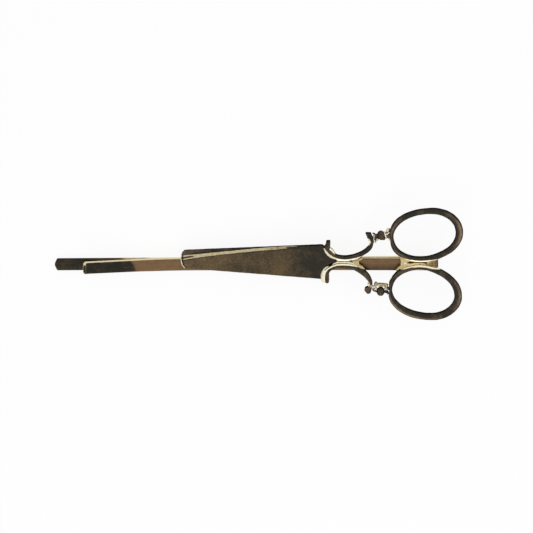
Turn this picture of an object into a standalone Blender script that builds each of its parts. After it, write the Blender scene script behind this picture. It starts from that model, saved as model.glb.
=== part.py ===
"""Hair slide: a flat spring hair grip that carries a closed pair of antique scissors.

Units are metres and +Z is up. The origin is on the underside of the grip's back leg, below the
waist of the scissors. +X runs along the grip from its open tips to its bend, and +Z is the side
that shows when the slide is worn. The back leg lies flat. The front leg, the bend and the
scissors hang from one empty on the axis that the grip flexes about, inside the bend.
"""

import math

import bmesh
import bpy
from mathutils import Vector
from mathutils.geometry import interpolate_bezier

MM = 0.001

# Grip strip
strip_width = 1.9 * MM
strip_thickness = 0.55 * MM
strip_edge_radius = 0.15 * MM
bend_inner_radius = 0.65 * MM
bend_outside_x = 14.52 * MM
back_leg_reach = 45.62 * MM
back_tip_point = 0.4 * MM
flex_gap = 0.3 * MM

# Front leg: it comes down to the back leg in one line, then flares to a lipped tip
front_leg_straight = 36.3 * MM
touch_clearance = 0.05 * MM
flare_radius = 55.0 * MM
flare_reach = 16.12 * MM
flare_angle = math.radians(7.8)
lip_radius = 0.9 * MM
lip_angle = math.radians(38.0)

# Scissors as a whole: their own frame has x from the waist to the rings, and z from their back
scissors_offset = 0.8 * MM
scissors_turn = math.radians(-0.95)
solder_thickness = 0.15 * MM
seat_clearance = 0.05 * MM
overrun = 1.0 * MM

# Blades
blade_heel_x = -3.9 * MM
blade_length = 22.05 * MM
blade_tip_width = 2.66 * MM
blade_heel_width = 5.42 * MM
blade_thickness = 0.45 * MM
blade_vee_length = 2.9 * MM
edge_meet_x = -12.6 * MM
edge_bevel = 0.34 * MM
edge_bevel_depth = 0.32 * MM
rim_bevel = 0.12 * MM

# Scroll shanks
shank_height = 0.95 * MM
shank_top_width = 0.47 * MM
shank_bevel_run = 0.42 * MM
shank_bevel_drop = 0.5 * MM
shank_edge_round = 0.08 * MM
scroll_left_x = -2.82 * MM
scroll_span = 6.96 * MM
scroll_rise = 4.95 * MM

# Ball links
ball_x = 5.6 * MM
ball_y = 4.57 * MM
ball_z = 0.62 * MM
ball_length = 1.22 * MM
ball_diameter = 1.5 * MM
collar_diameter = 0.84 * MM
neck_diameter = 0.52 * MM
neck_length = 0.2 * MM
link_start_x = 4.0 * MM
link_end_x = 7.1 * MM
web_side_y = 3.45 * MM
web_width = 0.6 * MM
web_height = 0.5 * MM

# Finger rings: the hole and the outside are two ellipses, so the bar is widest at the far end
hole_x = 12.285 * MM
hole_y = 4.63 * MM
hole_length = 9.84 * MM
hole_width = 6.95 * MM
hole_tilt = math.radians(11.4)
outside_x = 12.42 * MM
outside_y = 4.72 * MM
outside_length = 11.95 * MM
outside_width = 8.71 * MM
outside_tilt = math.radians(11.8)
ring_height = 1.0 * MM
ring_edge_round = 0.26 * MM

# Solder
waist_fillet_start_x = 0.95 * MM
waist_fillet_end_x = 2.9 * MM
waist_fillet_height = 0.62 * MM
waist_fillet_hollow = 0.7 * MM
ring_fillet_start_x = 8.3 * MM
ring_fillet_end_x = 14.45 * MM
ring_fillet_height = 0.66 * MM
ring_fillet_near_hollow = 0.4 * MM
ring_fillet_far_hollow = 0.2 * MM
groove_start_x = 9.9 * MM
groove_end_x = 12.8 * MM
groove_width = 0.8 * MM
groove_floor_width = 0.12 * MM
groove_floor = 0.18 * MM
blade_solder_start_x = -21.5 * MM
blade_solder_length = 13.0 * MM
ring_solder_start_x = 8.6 * MM
ring_solder_length = 4.2 * MM
solder_width = 1.6 * MM

# Facets, the sharpest turn that shades smooth, and the largest that counts as straight on
corner_steps = 3
bend_steps = 16
flare_steps = 8
lip_steps = 5
route_steps = 4
ring_steps = 60
bar_steps = 16
pad_steps = 8
turning_steps = 24
ball_rings = 8
crease_angle = math.radians(32.0)
straight_angle = math.radians(5.0)

# Along the blade from its tip, and out from its middle as shares of half the tip's width
tip_shares = (
    (0.043, -1.00),
    (0.018, -0.66),
    (0.006, -0.20),
    (0.000, 0.25),
    (0.004, 0.43),
)
# Along the vee of the heel, and out from its middle as shares of half the heel's width
heel_shares = (
    (0.00, 1.00),
    (0.09, 0.75),
    (0.20, 0.47),
    (0.40, 0.25),
    (0.62, 0.12),
    (1.00, 0.00),
)
# Along the scroll, out from the axis, and the width of the shank's top there
scroll_shares = (
    (0.020, 0.700, 1.42),
    (0.014, 0.520, 1.45),
    (0.021, 0.400, 1.25),
    (0.068, 0.270, 1.10),
    (0.150, 0.204, 1.05),
    (0.300, 0.168, 1.05),
    (0.560, 0.186, 1.12),
    (0.690, 0.240, 1.32),
    (0.830, 0.368, 1.45),
    (0.945, 0.540, 1.25),
    (0.998, 0.690, 0.92),
    (0.988, 0.785, 0.72),
)
block_shares = (
    (0.968, 0.830, 1.15),
    (0.948, 0.870, 1.45),
    (0.928, 0.930, 1.48),
    (0.908, 0.990, 1.42),
)
knob_shares = (
    (0.966, 0.830, 0.90),
    (0.942, 0.880, 1.80),
    (0.918, 0.932, 2.00),
    (0.898, 0.980, 1.35),
)
# How much of the inner bevel there is, at stations spread evenly along the scroll
bevel_shares = (0.0, 0.75, 1.0, 1.0, 1.0, 1.0, 0.75, 0.5, 0.3, 0.15, 0.0)

# The grip flexes about the middle of its bend
bend_outer_radius = bend_inner_radius + strip_thickness
bend_middle_radius = bend_inner_radius + strip_thickness / 2
hinge_x = bend_outside_x - bend_outer_radius
hinge_z = strip_thickness + bend_inner_radius

# The scissors' back lies over the front leg, and their blades lie one over the other
solder_bottom = bend_outer_radius + seat_clearance
scissors_height = solder_bottom + solder_thickness + seat_clearance
front_blade_bottom = blade_thickness + seat_clearance
blade_tip_x = blade_heel_x - blade_length


def clear_scene():
    for item in list(bpy.data.objects):
        bpy.data.objects.remove(item, do_unlink=True)


def metal(name, colour, roughness):
    """A plated or soldered metal, from its linear RGB colour."""
    material = bpy.data.materials.new(name)
    material.use_nodes = True
    shader = material.node_tree.nodes["Principled BSDF"]
    shader.inputs["Base Color"].default_value = (*colour, 1.0)
    shader.inputs["Roughness"].default_value = roughness
    shader.inputs["Metallic"].default_value = 1.0
    material.diffuse_color = (*colour, 1.0)
    return material


def empty(name, location, turn, parent=None):
    marker = bpy.data.objects.new(name, None)
    marker.location = location
    marker.rotation_euler = turn
    marker.parent = parent
    bpy.context.collection.objects.link(marker)
    return marker


def solid(name, mesh, material, parent=None):
    """Makes a named object of a bmesh, shaded smooth but for its real edges."""
    bmesh.ops.recalc_face_normals(mesh, faces=mesh.faces)
    data = bpy.data.meshes.new(name)
    mesh.to_mesh(data)
    mesh.free()
    data.materials.append(material)
    data.shade_smooth()
    data.set_sharp_from_angle(angle=crease_angle)
    item = bpy.data.objects.new(name, data)
    item.parent = parent
    bpy.context.collection.objects.link(item)
    return item


def guide(name, mesh, parent=None):
    """A hidden solid that only cuts or joins others."""
    bmesh.ops.recalc_face_normals(mesh, faces=mesh.faces)
    data = bpy.data.meshes.new(name)
    mesh.to_mesh(data)
    mesh.free()
    item = bpy.data.objects.new(name, data)
    item.parent = parent
    item.hide_render = True
    item.display_type = "WIRE"
    bpy.context.collection.objects.link(item)
    return item


def combine(item, other, operation):
    """Cuts an object with a guide, or joins the guide to it."""
    step = item.modifiers.new(other.name, "BOOLEAN")
    step.operation = operation
    step.object = other
    step.solver = "EXACT"


def loft(rings, closed=False):
    """Skins a row of point rings, and fills both ends unless the row closes on itself."""
    mesh = bmesh.new()
    loops = []
    for ring in rings:
        corners = [mesh.verts.new(point) for point in ring]
        sides = zip(corners, corners[1:] + corners[:1])
        loops.append([mesh.edges.new(side) for side in sides])
    following = loops[1:] + loops[:1] if closed else loops[1:]
    for loop, next_loop in zip(loops, following):
        bmesh.ops.bridge_loops(mesh, edges=loop + next_loop)
    if not closed:
        bmesh.ops.contextual_create(mesh, geom=loops[0])
        bmesh.ops.contextual_create(mesh, geom=loops[-1])
    return mesh


def plate(outline, bottom, top):
    """A flat plate between two heights, from its outline in plan."""
    mesh = bmesh.new()
    face = mesh.faces.new([mesh.verts.new((x, y, bottom)) for x, y in outline])
    grown = bmesh.ops.extrude_face_region(mesh, geom=[face])
    raised = [part for part in grown["geom"] if isinstance(part, bmesh.types.BMVert)]
    bmesh.ops.translate(mesh, verts=raised, vec=(0.0, 0.0, top - bottom))
    return mesh


def rounded_section(width, bottom, top, radius):
    """Points (across, up) round a rectangle with rounded corners."""
    left = radius - width / 2
    right = width / 2 - radius
    corners = (
        (left, bottom + radius, 1.0 * math.pi),
        (right, bottom + radius, 1.5 * math.pi),
        (right, top - radius, 0.0 * math.pi),
        (left, top - radius, 0.5 * math.pi),
    )
    points = []
    for across, up, start in corners:
        for step in range(corner_steps):
            angle = start + 0.5 * math.pi * step / (corner_steps - 1)
            points.append((across + radius * math.cos(angle), up + radius * math.sin(angle)))
    return points


def smooth_route(points):
    """A smooth curve through all the points, as a list of vectors."""
    points = [Vector(point) for point in points]
    before = points[:1] + points[:-1]
    after = points[1:] + points[-1:]
    slopes = [(last - first) / 6 for first, last in zip(before, after)]
    curve = points[:1]
    for index in range(len(points) - 1):
        start = points[index]
        end = points[index + 1]
        handles = (start + slopes[index], end - slopes[index + 1])
        curve += interpolate_bezier(start, *handles, end, route_steps + 1)[1:]
    return curve


def share_along(shares, place):
    """Reads a table of evenly spaced shares at a place from 0 to 1."""
    position = place * (len(shares) - 1)
    index = min(int(position), len(shares) - 2)
    blend = position - index
    return shares[index] * (1.0 - blend) + shares[index + 1] * blend


def inset(outline, amounts):
    """Moves each side of a counterclockwise outline inwards by its own amount."""
    count = len(outline)
    normals = []
    for index in range(count):
        side = Vector(outline[(index + 1) % count]) - Vector(outline[index])
        normals.append(Vector((-side.y, side.x)).normalized())
    moved = []
    for index in range(count):
        first, second = normals[index - 1], normals[index]
        near, far = amounts[index - 1], amounts[index]
        turn = first.x * second.y - first.y * second.x
        if abs(turn) < math.sin(straight_angle):
            shift = (first + second).normalized() * (near + far) / 2
        else:
            shift = Vector((near * second.y - far * first.y, far * first.x - near * second.x)) / turn
        moved.append((outline[index][0] + shift.x, outline[index][1] + shift.y))
    return moved


def leg_opening():
    """The angle between the legs that brings the front one down to the back one."""
    across = bend_middle_radius + flare_radius
    level = flare_radius - bend_inner_radius + touch_clearance + strip_thickness / 2
    reach = math.hypot(across, front_leg_straight)
    return math.acos(level / reach) - math.atan2(front_leg_straight, across)


def walk(x, z, heading, moves):
    """Stations (x, z, heading) along straights and arcs, each given as length, turn and steps."""
    stations = [(x, z, heading)]
    for length, turn, steps in moves:
        stride = length / steps
        half_turn = turn / steps / 2
        chord = stride * math.sin(half_turn) / half_turn if half_turn else stride
        for _ in range(steps):
            x += chord * math.cos(heading + half_turn)
            z += chord * math.sin(heading + half_turn)
            heading += half_turn * 2
            stations.append((x, z, heading))
    return stations


def strip(stations):
    """The flat strip along its stations, with its rounded section square to its line."""
    section = rounded_section(strip_width, -strip_thickness / 2, strip_thickness / 2, strip_edge_radius)
    rings = []
    for x, z, heading in stations:
        up = Vector((-math.sin(heading), 0.0, math.cos(heading)))
        centre = Vector((x, 0.0, z))
        rings.append([centre + up * rise + Vector((0.0, across, 0.0)) for across, rise in section])
    return loft(rings)


def grip_back_leg(material):
    """The straight leg, from the point of its tip to the flex gap before the bend."""
    tip = -back_leg_reach
    end = hinge_x - flex_gap
    mesh = strip([(tip, strip_thickness / 2, 0.0), (end, strip_thickness / 2, 0.0)])
    for side in (-1.0, 1.0):
        trimmed = bmesh.ops.bisect_plane(
            mesh,
            geom=mesh.verts[:] + mesh.edges[:] + mesh.faces[:],
            plane_co=(tip, 0.0, 0.0),
            plane_no=(-strip_width / 2, side * back_tip_point, 0.0),
            clear_outer=True,
        )
        rim = [part for part in trimmed["geom_cut"] if isinstance(part, bmesh.types.BMEdge)]
        bmesh.ops.contextual_create(mesh, geom=rim)
    solid("grip_back_leg", mesh, material)


def grip_front_leg(material, opening, hinge):
    """The bend and the front leg, one strip in the frame of the hinge."""
    flare_turn = opening + flare_angle
    flare_run = flare_radius * math.sin(flare_angle)
    lip_run = lip_radius * (math.sin(flare_angle + lip_angle) - math.sin(flare_angle))
    tail = (flare_reach - flare_run - lip_run) / math.cos(flare_angle)
    bend_turn = math.pi + opening
    moves = (
        (bend_middle_radius * bend_turn, bend_turn, bend_steps),
        (front_leg_straight, 0.0, 1),
        (flare_radius * flare_turn, -flare_turn, flare_steps),
        (tail, 0.0, 1),
        (lip_radius * lip_angle, -lip_angle, lip_steps),
    )
    start_x = -bend_middle_radius * math.sin(opening)
    start_z = -bend_middle_radius * math.cos(opening)
    solid("grip_front_leg", strip(walk(start_x, start_z, -opening, moves)), material, hinge)


def flip(mesh, side):
    """Turns a solid of the upper handle into its mirror image for the lower one."""
    bmesh.ops.scale(mesh, vec=(1.0, side, 1.0), verts=mesh.verts)
    return mesh


def blade(name, side, bottom, material, scissors):
    """One blade: its cutting edge is on the side given, and its spine on the other."""
    half_tip = blade_tip_width / 2
    half_heel = blade_heel_width / 2
    meet_y = half_tip + (half_heel - half_tip) * (edge_meet_x - blade_tip_x) / blade_length
    vee = [(blade_heel_x + blade_vee_length * along, half_heel * out) for along, out in heel_shares]
    tip = smooth_route([(blade_tip_x + blade_length * along, half_tip * out) for along, out in tip_shares])
    sides = [(x, -y, 0.0) for x, y in vee[:-1]]
    sides += [(x, y, 0.0) for x, y in vee[:0:-1]]
    sides += [(*vee[0], rim_bevel), (edge_meet_x, meet_y, edge_bevel)]
    sides += [(point.x, point.y, rim_bevel) for point in reversed(tip)]
    outline = [(x, y) for x, y, _ in sides]
    face = inset(outline, [amount for _, _, amount in sides])
    shoulder = bottom + blade_thickness - edge_bevel_depth
    levels = ((outline, bottom), (outline, shoulder), (face, bottom + blade_thickness))
    mesh = loft([[(x, y, level) for x, y in points] for points, level in levels])
    return solid(name, flip(mesh, side), material, scissors)


def scroll_route(end_shares):
    """The line of an upper shank's top, as vectors of x, y and the top's width."""
    scale = (scroll_span, scroll_rise, shank_top_width)
    shares = scroll_shares + end_shares
    route = smooth_route([[size * share for size, share in zip(scale, row)] for row in shares])
    return [Vector((scroll_left_x + point.x, point.y, point.z)) for point in route]


def shank_mesh(end_shares, grow=0.0):
    """An upper shank with its bevel towards the axis, or the plain block that clears it by a margin."""
    route = scroll_route(end_shares)
    rings = []
    for index, point in enumerate(route):
        before = route[max(index - 1, 0)]
        after = route[min(index + 1, len(route) - 1)]
        inward = Vector((after.y - before.y, before.x - after.x, 0.0)).normalized()
        half = point.z / 2
        run = shank_bevel_run * share_along(bevel_shares, index / (len(route) - 1))
        if grow:
            top = shank_height + overrun
            section = (
                (-half - grow, -overrun),
                (half + run + grow, -overrun),
                (half + run + grow, top),
                (-half - grow, top),
            )
        else:
            section = (
                (-half, 0.0),
                (half + run, 0.0),
                (half + run, shank_height - shank_bevel_drop),
                (half, shank_height),
                (shank_edge_round - half, shank_height),
                (-half, shank_height - shank_edge_round),
            )
        place = Vector((point.x, point.y, 0.0))
        rings.append([place + inward * across + Vector((0.0, 0.0, up)) for across, up in section])
    return loft(rings)


def ellipse_point(centre_x, centre_y, length, width, tilt, angle):
    """A point on a tilted ellipse, at an angle of its own parameter."""
    along = length / 2 * math.cos(angle)
    across = width / 2 * math.sin(angle)
    x = centre_x + along * math.cos(tilt) - across * math.sin(tilt)
    y = centre_y + along * math.sin(tilt) + across * math.cos(tilt)
    return Vector((x, y, 0.0))


def ring_mesh(grow=0.0):
    """The upper finger ring, or the plain block that clears it by a margin."""
    rings = []
    for step in range(ring_steps):
        angle = 2 * math.pi * step / ring_steps
        inner = ellipse_point(hole_x, hole_y, hole_length, hole_width, hole_tilt, angle)
        outer = ellipse_point(outside_x, outside_y, outside_length, outside_width, outside_tilt, angle)
        width = (outer - inner).length
        outward = (outer - inner) / width
        middle = (outer + inner) / 2
        if grow:
            half = width / 2 + grow
            top = ring_height + overrun
            section = ((-half, -overrun), (half, -overrun), (half, top), (-half, top))
        else:
            section = rounded_section(width, 0.0, ring_height, ring_edge_round)
        rings.append([middle + outward * across + Vector((0.0, 0.0, up)) for across, up in section])
    return loft(rings, closed=True)


def link_mesh():
    """A collar, a ball and a collar, turned about one line."""
    half_ball = ball_length / 2
    collar = collar_diameter / 2
    neck = neck_diameter / 2
    profile = [
        (link_start_x, collar),
        (ball_x - half_ball - neck_length, collar),
        (ball_x - half_ball - neck_length / 2, neck),
    ]
    for step in range(1, ball_rings):
        angle = math.pi * step / ball_rings
        radius = ball_diameter / 2 * math.sin(angle)
        if radius > neck:
            profile.append((ball_x - half_ball * math.cos(angle), radius))
    profile += [
        (ball_x + half_ball + neck_length / 2, neck),
        (ball_x + half_ball + neck_length, collar),
        (link_end_x, collar),
    ]
    rings = []
    for x, radius in profile:
        ring = []
        for step in range(turning_steps):
            angle = 2 * math.pi * step / turning_steps
            ring.append((x, ball_y + radius * math.cos(angle), ball_z + radius * math.sin(angle)))
        rings.append(ring)
    return loft(rings)


def web_mesh():
    """The cast web beside a ball, between the scroll and the ring."""
    near, far = web_side_y, web_side_y + web_width
    outline = [(link_start_x, near), (link_end_x, near), (link_end_x, far), (link_start_x, far)]
    return plate(outline, 0.0, web_height)


def bar_middle(x):
    """The middle of the upper ring's bar on its side near the axis, at a distance along the axis."""
    centre_x = (hole_x + outside_x) / 2
    centre_y = (hole_y + outside_y) / 2
    length = (hole_length + outside_length) / 2
    width = (hole_width + outside_width) / 2
    tilt = (hole_tilt + outside_tilt) / 2
    reach = math.hypot(length * math.cos(tilt), width * math.sin(tilt)) / 2
    lead = math.atan2(width * math.sin(tilt), length * math.cos(tilt))
    angle = -math.acos((x - centre_x) / reach) - lead
    return ellipse_point(centre_x, centre_y, length, width, tilt, angle)


def groove_mesh():
    """The vee that stays open along the middle of the solder between the rings."""
    top = ring_fillet_height * 2 - groove_floor
    slope = (groove_width - groove_floor_width) / (ring_fillet_height - groove_floor)
    wide = groove_floor_width / 2 + slope / 2 * (top - groove_floor)
    narrow = groove_floor_width / 2
    section = ((-wide, top), (-narrow, groove_floor), (narrow, groove_floor), (wide, top))
    return loft([[(x, y, z) for y, z in section] for x in (groove_start_x, groove_end_x)])


def bridge(name, side, start_hollow, end_hollow, height, cutters, material, scissors):
    """Solder that spans the axis between two mirrored sides, hollow at its ends, cut to clear them."""
    first, last = side[0], side[-1]
    outline = [(point.x, -point.y) for point in side[:-1]]
    end = smooth_route([(last.x, -last.y), (last.x - end_hollow, 0.0), (last.x, last.y)])
    outline += [(point.x, point.y) for point in end]
    outline += [(point.x, point.y) for point in side[-2:0:-1]]
    start = smooth_route([(first.x, first.y), (first.x + start_hollow, 0.0), (first.x, -first.y)])
    outline += [(point.x, point.y) for point in start[:-1]]
    item = solid(name, plate(outline, 0.0, height), material, scissors)
    for cutter in cutters:
        combine(item, cutter, "DIFFERENCE")


def solder_pad(name, start, length, material, hinge):
    """A thin bed of solder on the front leg, round at its ends."""
    half = solder_width / 2
    outline = []
    for centre, lead in ((start + length - half, -0.5), (start + half, 0.5)):
        for step in range(pad_steps + 1):
            angle = math.pi * (lead + step / pad_steps)
            outline.append((centre + half * math.cos(angle), half * math.sin(angle)))
    solid(name, plate(outline, solder_bottom, solder_bottom + solder_thickness), material, hinge)


def main():
    clear_scene()
    spring_steel = metal("golden_spring_steel", (0.16, 0.10, 0.055), 0.30)
    dark_brass = metal("toned_brass", (0.075, 0.055, 0.032), 0.34)
    brown_brass = metal("hammered_toned_brass", (0.10, 0.072, 0.042), 0.38)
    bright_solder = metal("pale_gold_solder", (0.50, 0.42, 0.27), 0.30)

    opening = leg_opening()
    hinge = empty("front_leg_hinge", (hinge_x, 0.0, hinge_z), (0.0, -opening, 0.0))
    origin_x = (scissors_height * math.sin(opening) - hinge_x) / math.cos(opening)
    place = (origin_x, scissors_offset, scissors_height)
    scissors = empty("scissors_base", place, (0.0, 0.0, scissors_turn), hinge)

    grip_back_leg(spring_steel)
    grip_front_leg(spring_steel, opening, hinge)

    handles = (("upper", 1.0, block_shares), ("lower", -1.0, knob_shares))
    shank_guides = []
    ring_guides = []
    for word, side, end_shares in handles:
        block = flip(shank_mesh(end_shares, seat_clearance), side)
        shank_guides.append(guide(word + "_shank_cutter", block, scissors))
        ring_guides.append(guide(word + "_ring_cutter", flip(ring_mesh(seat_clearance), side), scissors))
    for (word, side, end_shares), shank_guide, ring_guide in zip(handles, shank_guides, ring_guides):
        solid(word + "_scroll_shank", flip(shank_mesh(end_shares), side), dark_brass, scissors)
        solid(word + "_finger_ring", flip(ring_mesh(), side), dark_brass, scissors)
        link = solid(word + "_ball_link", flip(link_mesh(), side), dark_brass, scissors)
        if side < 0:
            combine(link, guide(word + "_link_web", flip(web_mesh(), side), scissors), "UNION")
        combine(link, shank_guide, "DIFFERENCE")
        combine(link, ring_guide, "DIFFERENCE")

    blades = (
        blade("back_blade", -1.0, 0.0, dark_brass, scissors),
        blade("front_blade", 1.0, front_blade_bottom, brown_brass, scissors),
    )
    for item in blades:
        for shank_guide in shank_guides:
            combine(item, shank_guide, "DIFFERENCE")

    waist = [p for p in scroll_route(block_shares) if waist_fillet_start_x < p.x < waist_fillet_end_x]
    bridge("waist_fillet", waist, 0.0, waist_fillet_hollow, waist_fillet_height,
           shank_guides, bright_solder, scissors)

    stride = (ring_fillet_end_x - ring_fillet_start_x) / bar_steps
    bar = [bar_middle(ring_fillet_start_x + stride * step) for step in range(bar_steps + 1)]
    ring_guides.append(guide("groove_cutter", groove_mesh(), scissors))
    bridge("ring_fillet", bar, ring_fillet_near_hollow, ring_fillet_far_hollow, ring_fillet_height,
           ring_guides, bright_solder, scissors)

    solder_pad("blade_solder", origin_x + blade_solder_start_x, blade_solder_length, bright_solder, hinge)
    solder_pad("ring_solder", origin_x + ring_solder_start_x, ring_solder_length, bright_solder, hinge)


main()
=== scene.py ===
"""Hair slide: the looks of a flat sprung hair grip that carries a closed pair of antique scissors.

Run as a script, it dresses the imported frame: each piece is modelled in the frame's own place, in
metres, and rides on the body that carries it. The scissors' own frame has x from the waist to the
finger rings and z from their back.
"""

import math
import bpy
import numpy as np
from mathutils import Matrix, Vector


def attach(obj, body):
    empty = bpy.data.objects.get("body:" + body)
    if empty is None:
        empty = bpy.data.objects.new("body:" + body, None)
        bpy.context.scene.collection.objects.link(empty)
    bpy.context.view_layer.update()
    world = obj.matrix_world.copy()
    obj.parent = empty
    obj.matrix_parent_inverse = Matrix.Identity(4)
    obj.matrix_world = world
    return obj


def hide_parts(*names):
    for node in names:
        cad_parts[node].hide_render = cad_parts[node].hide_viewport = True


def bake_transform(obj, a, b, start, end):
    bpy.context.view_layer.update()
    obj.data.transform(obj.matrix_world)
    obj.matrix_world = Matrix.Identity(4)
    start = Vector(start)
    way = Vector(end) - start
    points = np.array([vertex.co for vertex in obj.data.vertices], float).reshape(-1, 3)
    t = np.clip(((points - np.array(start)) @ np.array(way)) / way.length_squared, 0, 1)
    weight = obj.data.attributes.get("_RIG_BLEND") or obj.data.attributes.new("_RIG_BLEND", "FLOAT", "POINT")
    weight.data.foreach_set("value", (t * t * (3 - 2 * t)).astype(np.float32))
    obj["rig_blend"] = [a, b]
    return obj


bl_info = {
    "name": "Hair slide",
    "version": (1, 0, 0),
    "blender": (4, 5, 0),
    "location": "View3D > Sidebar > Hair slide",
    "description": "Builds a flat hair grip with an ornament of closed antique scissors",
    "category": "Add Mesh",
}

import bmesh
import bpy
from bpy.props import FloatProperty, FloatVectorProperty, PointerProperty
from bpy.types import Operator, Panel, PropertyGroup
from mathutils import Matrix, Vector, noise
from mathutils.geometry import interpolate_bezier

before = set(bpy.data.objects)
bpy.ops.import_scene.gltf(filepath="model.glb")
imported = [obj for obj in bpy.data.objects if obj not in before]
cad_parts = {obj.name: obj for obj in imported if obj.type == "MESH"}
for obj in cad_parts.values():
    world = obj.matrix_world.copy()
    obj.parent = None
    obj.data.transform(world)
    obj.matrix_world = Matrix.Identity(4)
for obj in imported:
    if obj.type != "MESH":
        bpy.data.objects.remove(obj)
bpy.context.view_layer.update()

MM = 0.001

# The photograph's own frame: its width in pixels, and what one of them spans on the object
picture_width = 533
pixel_size = 0.157 * MM
view_tilt = math.radians(17.0)
view_roll = 0.0065
view_shift_x = -79.0
view_shift_y = -4.63
lens_length = 500.0
sensor_width = 36.0

# The stage: the white board under the object, and the two soft boxes beside it
board_reach = 3.0
board_drop = 0.02 * MM
soft_box_size = 0.08
soft_boxes = (("side_box", (0.16, 0.02, 0.12)), ("low_box", (-0.03, -0.15, 0.12)))

# Grip strip
bend_inner_radius = 0.65 * MM
bend_outside_x = 14.52 * MM
back_leg_reach = 45.62 * MM
front_leg_straight = 36.3 * MM
touch_clearance = 0.05 * MM
flare_radius = 55.0 * MM
flare_reach = 16.12 * MM
flare_angle = math.radians(7.8)
lip_radius = 0.9 * MM
lip_angle = math.radians(38.0)
tip_corner = 0.42 * MM
heel_corner = 0.1 * MM
strip_edge_radius = 0.15 * MM
bend_steps = 48
lip_steps = 12

# Scissors as a whole
scissors_offset = 0.8 * MM
scissors_turn = math.radians(-0.95)
solder_thickness = 0.15 * MM
seat_clearance = 0.05 * MM

# How far apart the unevenness of each kind of casting comes
blade_grain = 0.45 * MM
shank_grain = 0.5 * MM
ball_grain = 0.4 * MM
ring_grain = 0.7 * MM
solder_grain = 0.35 * MM

# Blades
blade_heel_x = -3.9 * MM
blade_length = 22.05 * MM
blade_tip_width = 2.66 * MM
blade_heel_width = 5.42 * MM
blade_thickness = 0.45 * MM
blade_vee_length = 2.9 * MM
edge_meet_x = -12.6 * MM
edge_fade_x = -6.0 * MM
edge_bevel = 0.28 * MM
edge_bevel_tip = 0.7 * MM
edge_bevel_run = 3.0 * MM
edge_bevel_depth = 0.26 * MM
edge_bevel_loss = 0.75
edge_depth_loss = 0.6
edge_line_reach = 2.4 * MM
tip_rim = 0.17 * MM
tip_line = 0.16 * MM
tip_fall = 0.14 * MM
rim_round = 0.06 * MM
under_bevel_shade = 0.16 * MM
edge_wander_grain = 0.9 * MM

# Scroll shanks
shank_height = 0.95 * MM
shank_top_width = 0.47 * MM
shank_edge_round = 0.09 * MM
shank_crown = 0.04 * MM
ledge_drop = 0.14 * MM
ledge_fall = 0.08 * MM
ledge_rim = 0.04 * MM
ledge_fade = 0.1 * MM
gap_least = 0.03 * MM
scroll_left_x = -2.82 * MM
scroll_span = 6.96 * MM
scroll_rise = 4.95 * MM

# Finger rings
hole_x = 12.285 * MM
hole_y = 4.63 * MM
hole_length = 9.84 * MM
hole_width = 6.95 * MM
hole_tilt = math.radians(11.4)
outside_x = 12.42 * MM
outside_y = 4.72 * MM
outside_length = 11.95 * MM
outside_width = 8.71 * MM
outside_tilt = math.radians(11.8)
ring_height = 1.0 * MM
ring_crown = 0.06 * MM
ring_squareness = 0.5
ring_turns = 220
ring_round_steps = 40
ring_patch_width = 0.36

# The slit in the solder between the rings, in millimetres: how far it is moved, where and how widely
slit_shift = 0.17
slit_y = -0.15
slit_spread = 0.25

# Across the strip: where its edge towards +Y, painted light where it lies in the shaded gap between the
# legs, starts and is full. Back from the tip's rim, the same for the bare rim. Up through the front leg,
# which lies upside down: where its underside starts
strip_lit_edge = (0.5 * MM, 0.75 * MM)
strip_bare_rim = (0.16 * MM, 0.1 * MM)
strip_underside = 0.1 * MM
# Along the back leg, each from one x to another: how much its painted light edge and its brown gain
back_lit_edge_steps = (
    (-41.0 * MM, -39.6 * MM, 0.12), (-37.0 * MM, -34.0 * MM, 0.32), (-31.5 * MM, -29.5 * MM, 0.56),
)
back_brown_steps = ((-41.0 * MM, -39.6 * MM, 0.3), (-37.0 * MM, -34.0 * MM, 0.45))
# The slanted line where the painted dark reflection on the front leg's tip ends, the x from which it lies
# under the rings to where it fully does, and across it, where painted shade falls there
dark_reflection_end_x = -33.25 * MM
dark_reflection_slant = 0.46
dark_reflection_blur = 0.2 * MM
under_rings = (0.5 * MM, 2.0 * MM)
shaded_side = (0.2 * MM, -0.3 * MM)
# Along the strip from its tip, in millimetres, and the share of its width there
tip_width_shares = ((0.0, 0.10), (0.06, 0.30), (0.18, 0.58), (0.3, 0.84), (0.4, 0.97), (0.52, 1.0))
# In from the blade's tip as a share of its length, and out from its middle as a share of half the
# tip's width
tip_shares = ((0.031, -1.00), (0.013, -0.72), (0.004, -0.20), (0.000, 0.20), (0.004, 0.43))
# Out from the middle of the heel as a share of half its width, and along its hollow cusp as a share
# of the cusp's length
heel_shares = ((-1.00, 0.01), (-0.85, -0.02), (-0.62, 0.04), (-0.41, 0.11), (-0.27, 0.22), (-0.16, 0.37),
               (-0.05, 0.55), (0.00, 0.68), (0.07, 0.87), (0.12, 0.79), (0.17, 0.62), (0.25, 0.49),
               (0.35, 0.36), (0.49, 0.23), (0.68, 0.13), (0.80, 0.10), (0.85, 0.17), (0.91, 0.18),
               (0.97, 0.12), (1.00, 0.05))
# Along the blade from tip to heel, and how brown its tone is there
blade_tone_shares = ((0.0, 0.50), (0.15, 0.61), (0.27, 0.56), (0.34, 0.44), (0.41, 0.33), (0.48, 0.27),
                     (0.55, 0.29), (0.62, 0.37), (0.69, 0.42), (0.76, 0.32), (0.84, 0.19),
                     (0.96, -0.04), (1.0, 0.0))
# Along the blade, each from one x to another: how much its bright bevel dulls, and where its wall
# starts and stops being bare
bevel_dull_steps = ((-13.5 * MM, -10.2 * MM, 0.25), (-9.8 * MM, -7.6 * MM, 0.75))
bare_wall_start = (-12.4 * MM, -11.4 * MM)
bare_wall_end = (-7.2 * MM, -8.2 * MM)
# Back from the blade's tip: where its edges start to be rubbed and are fully so
rubbed_tip = (3.2 * MM, 1.2 * MM)
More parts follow.
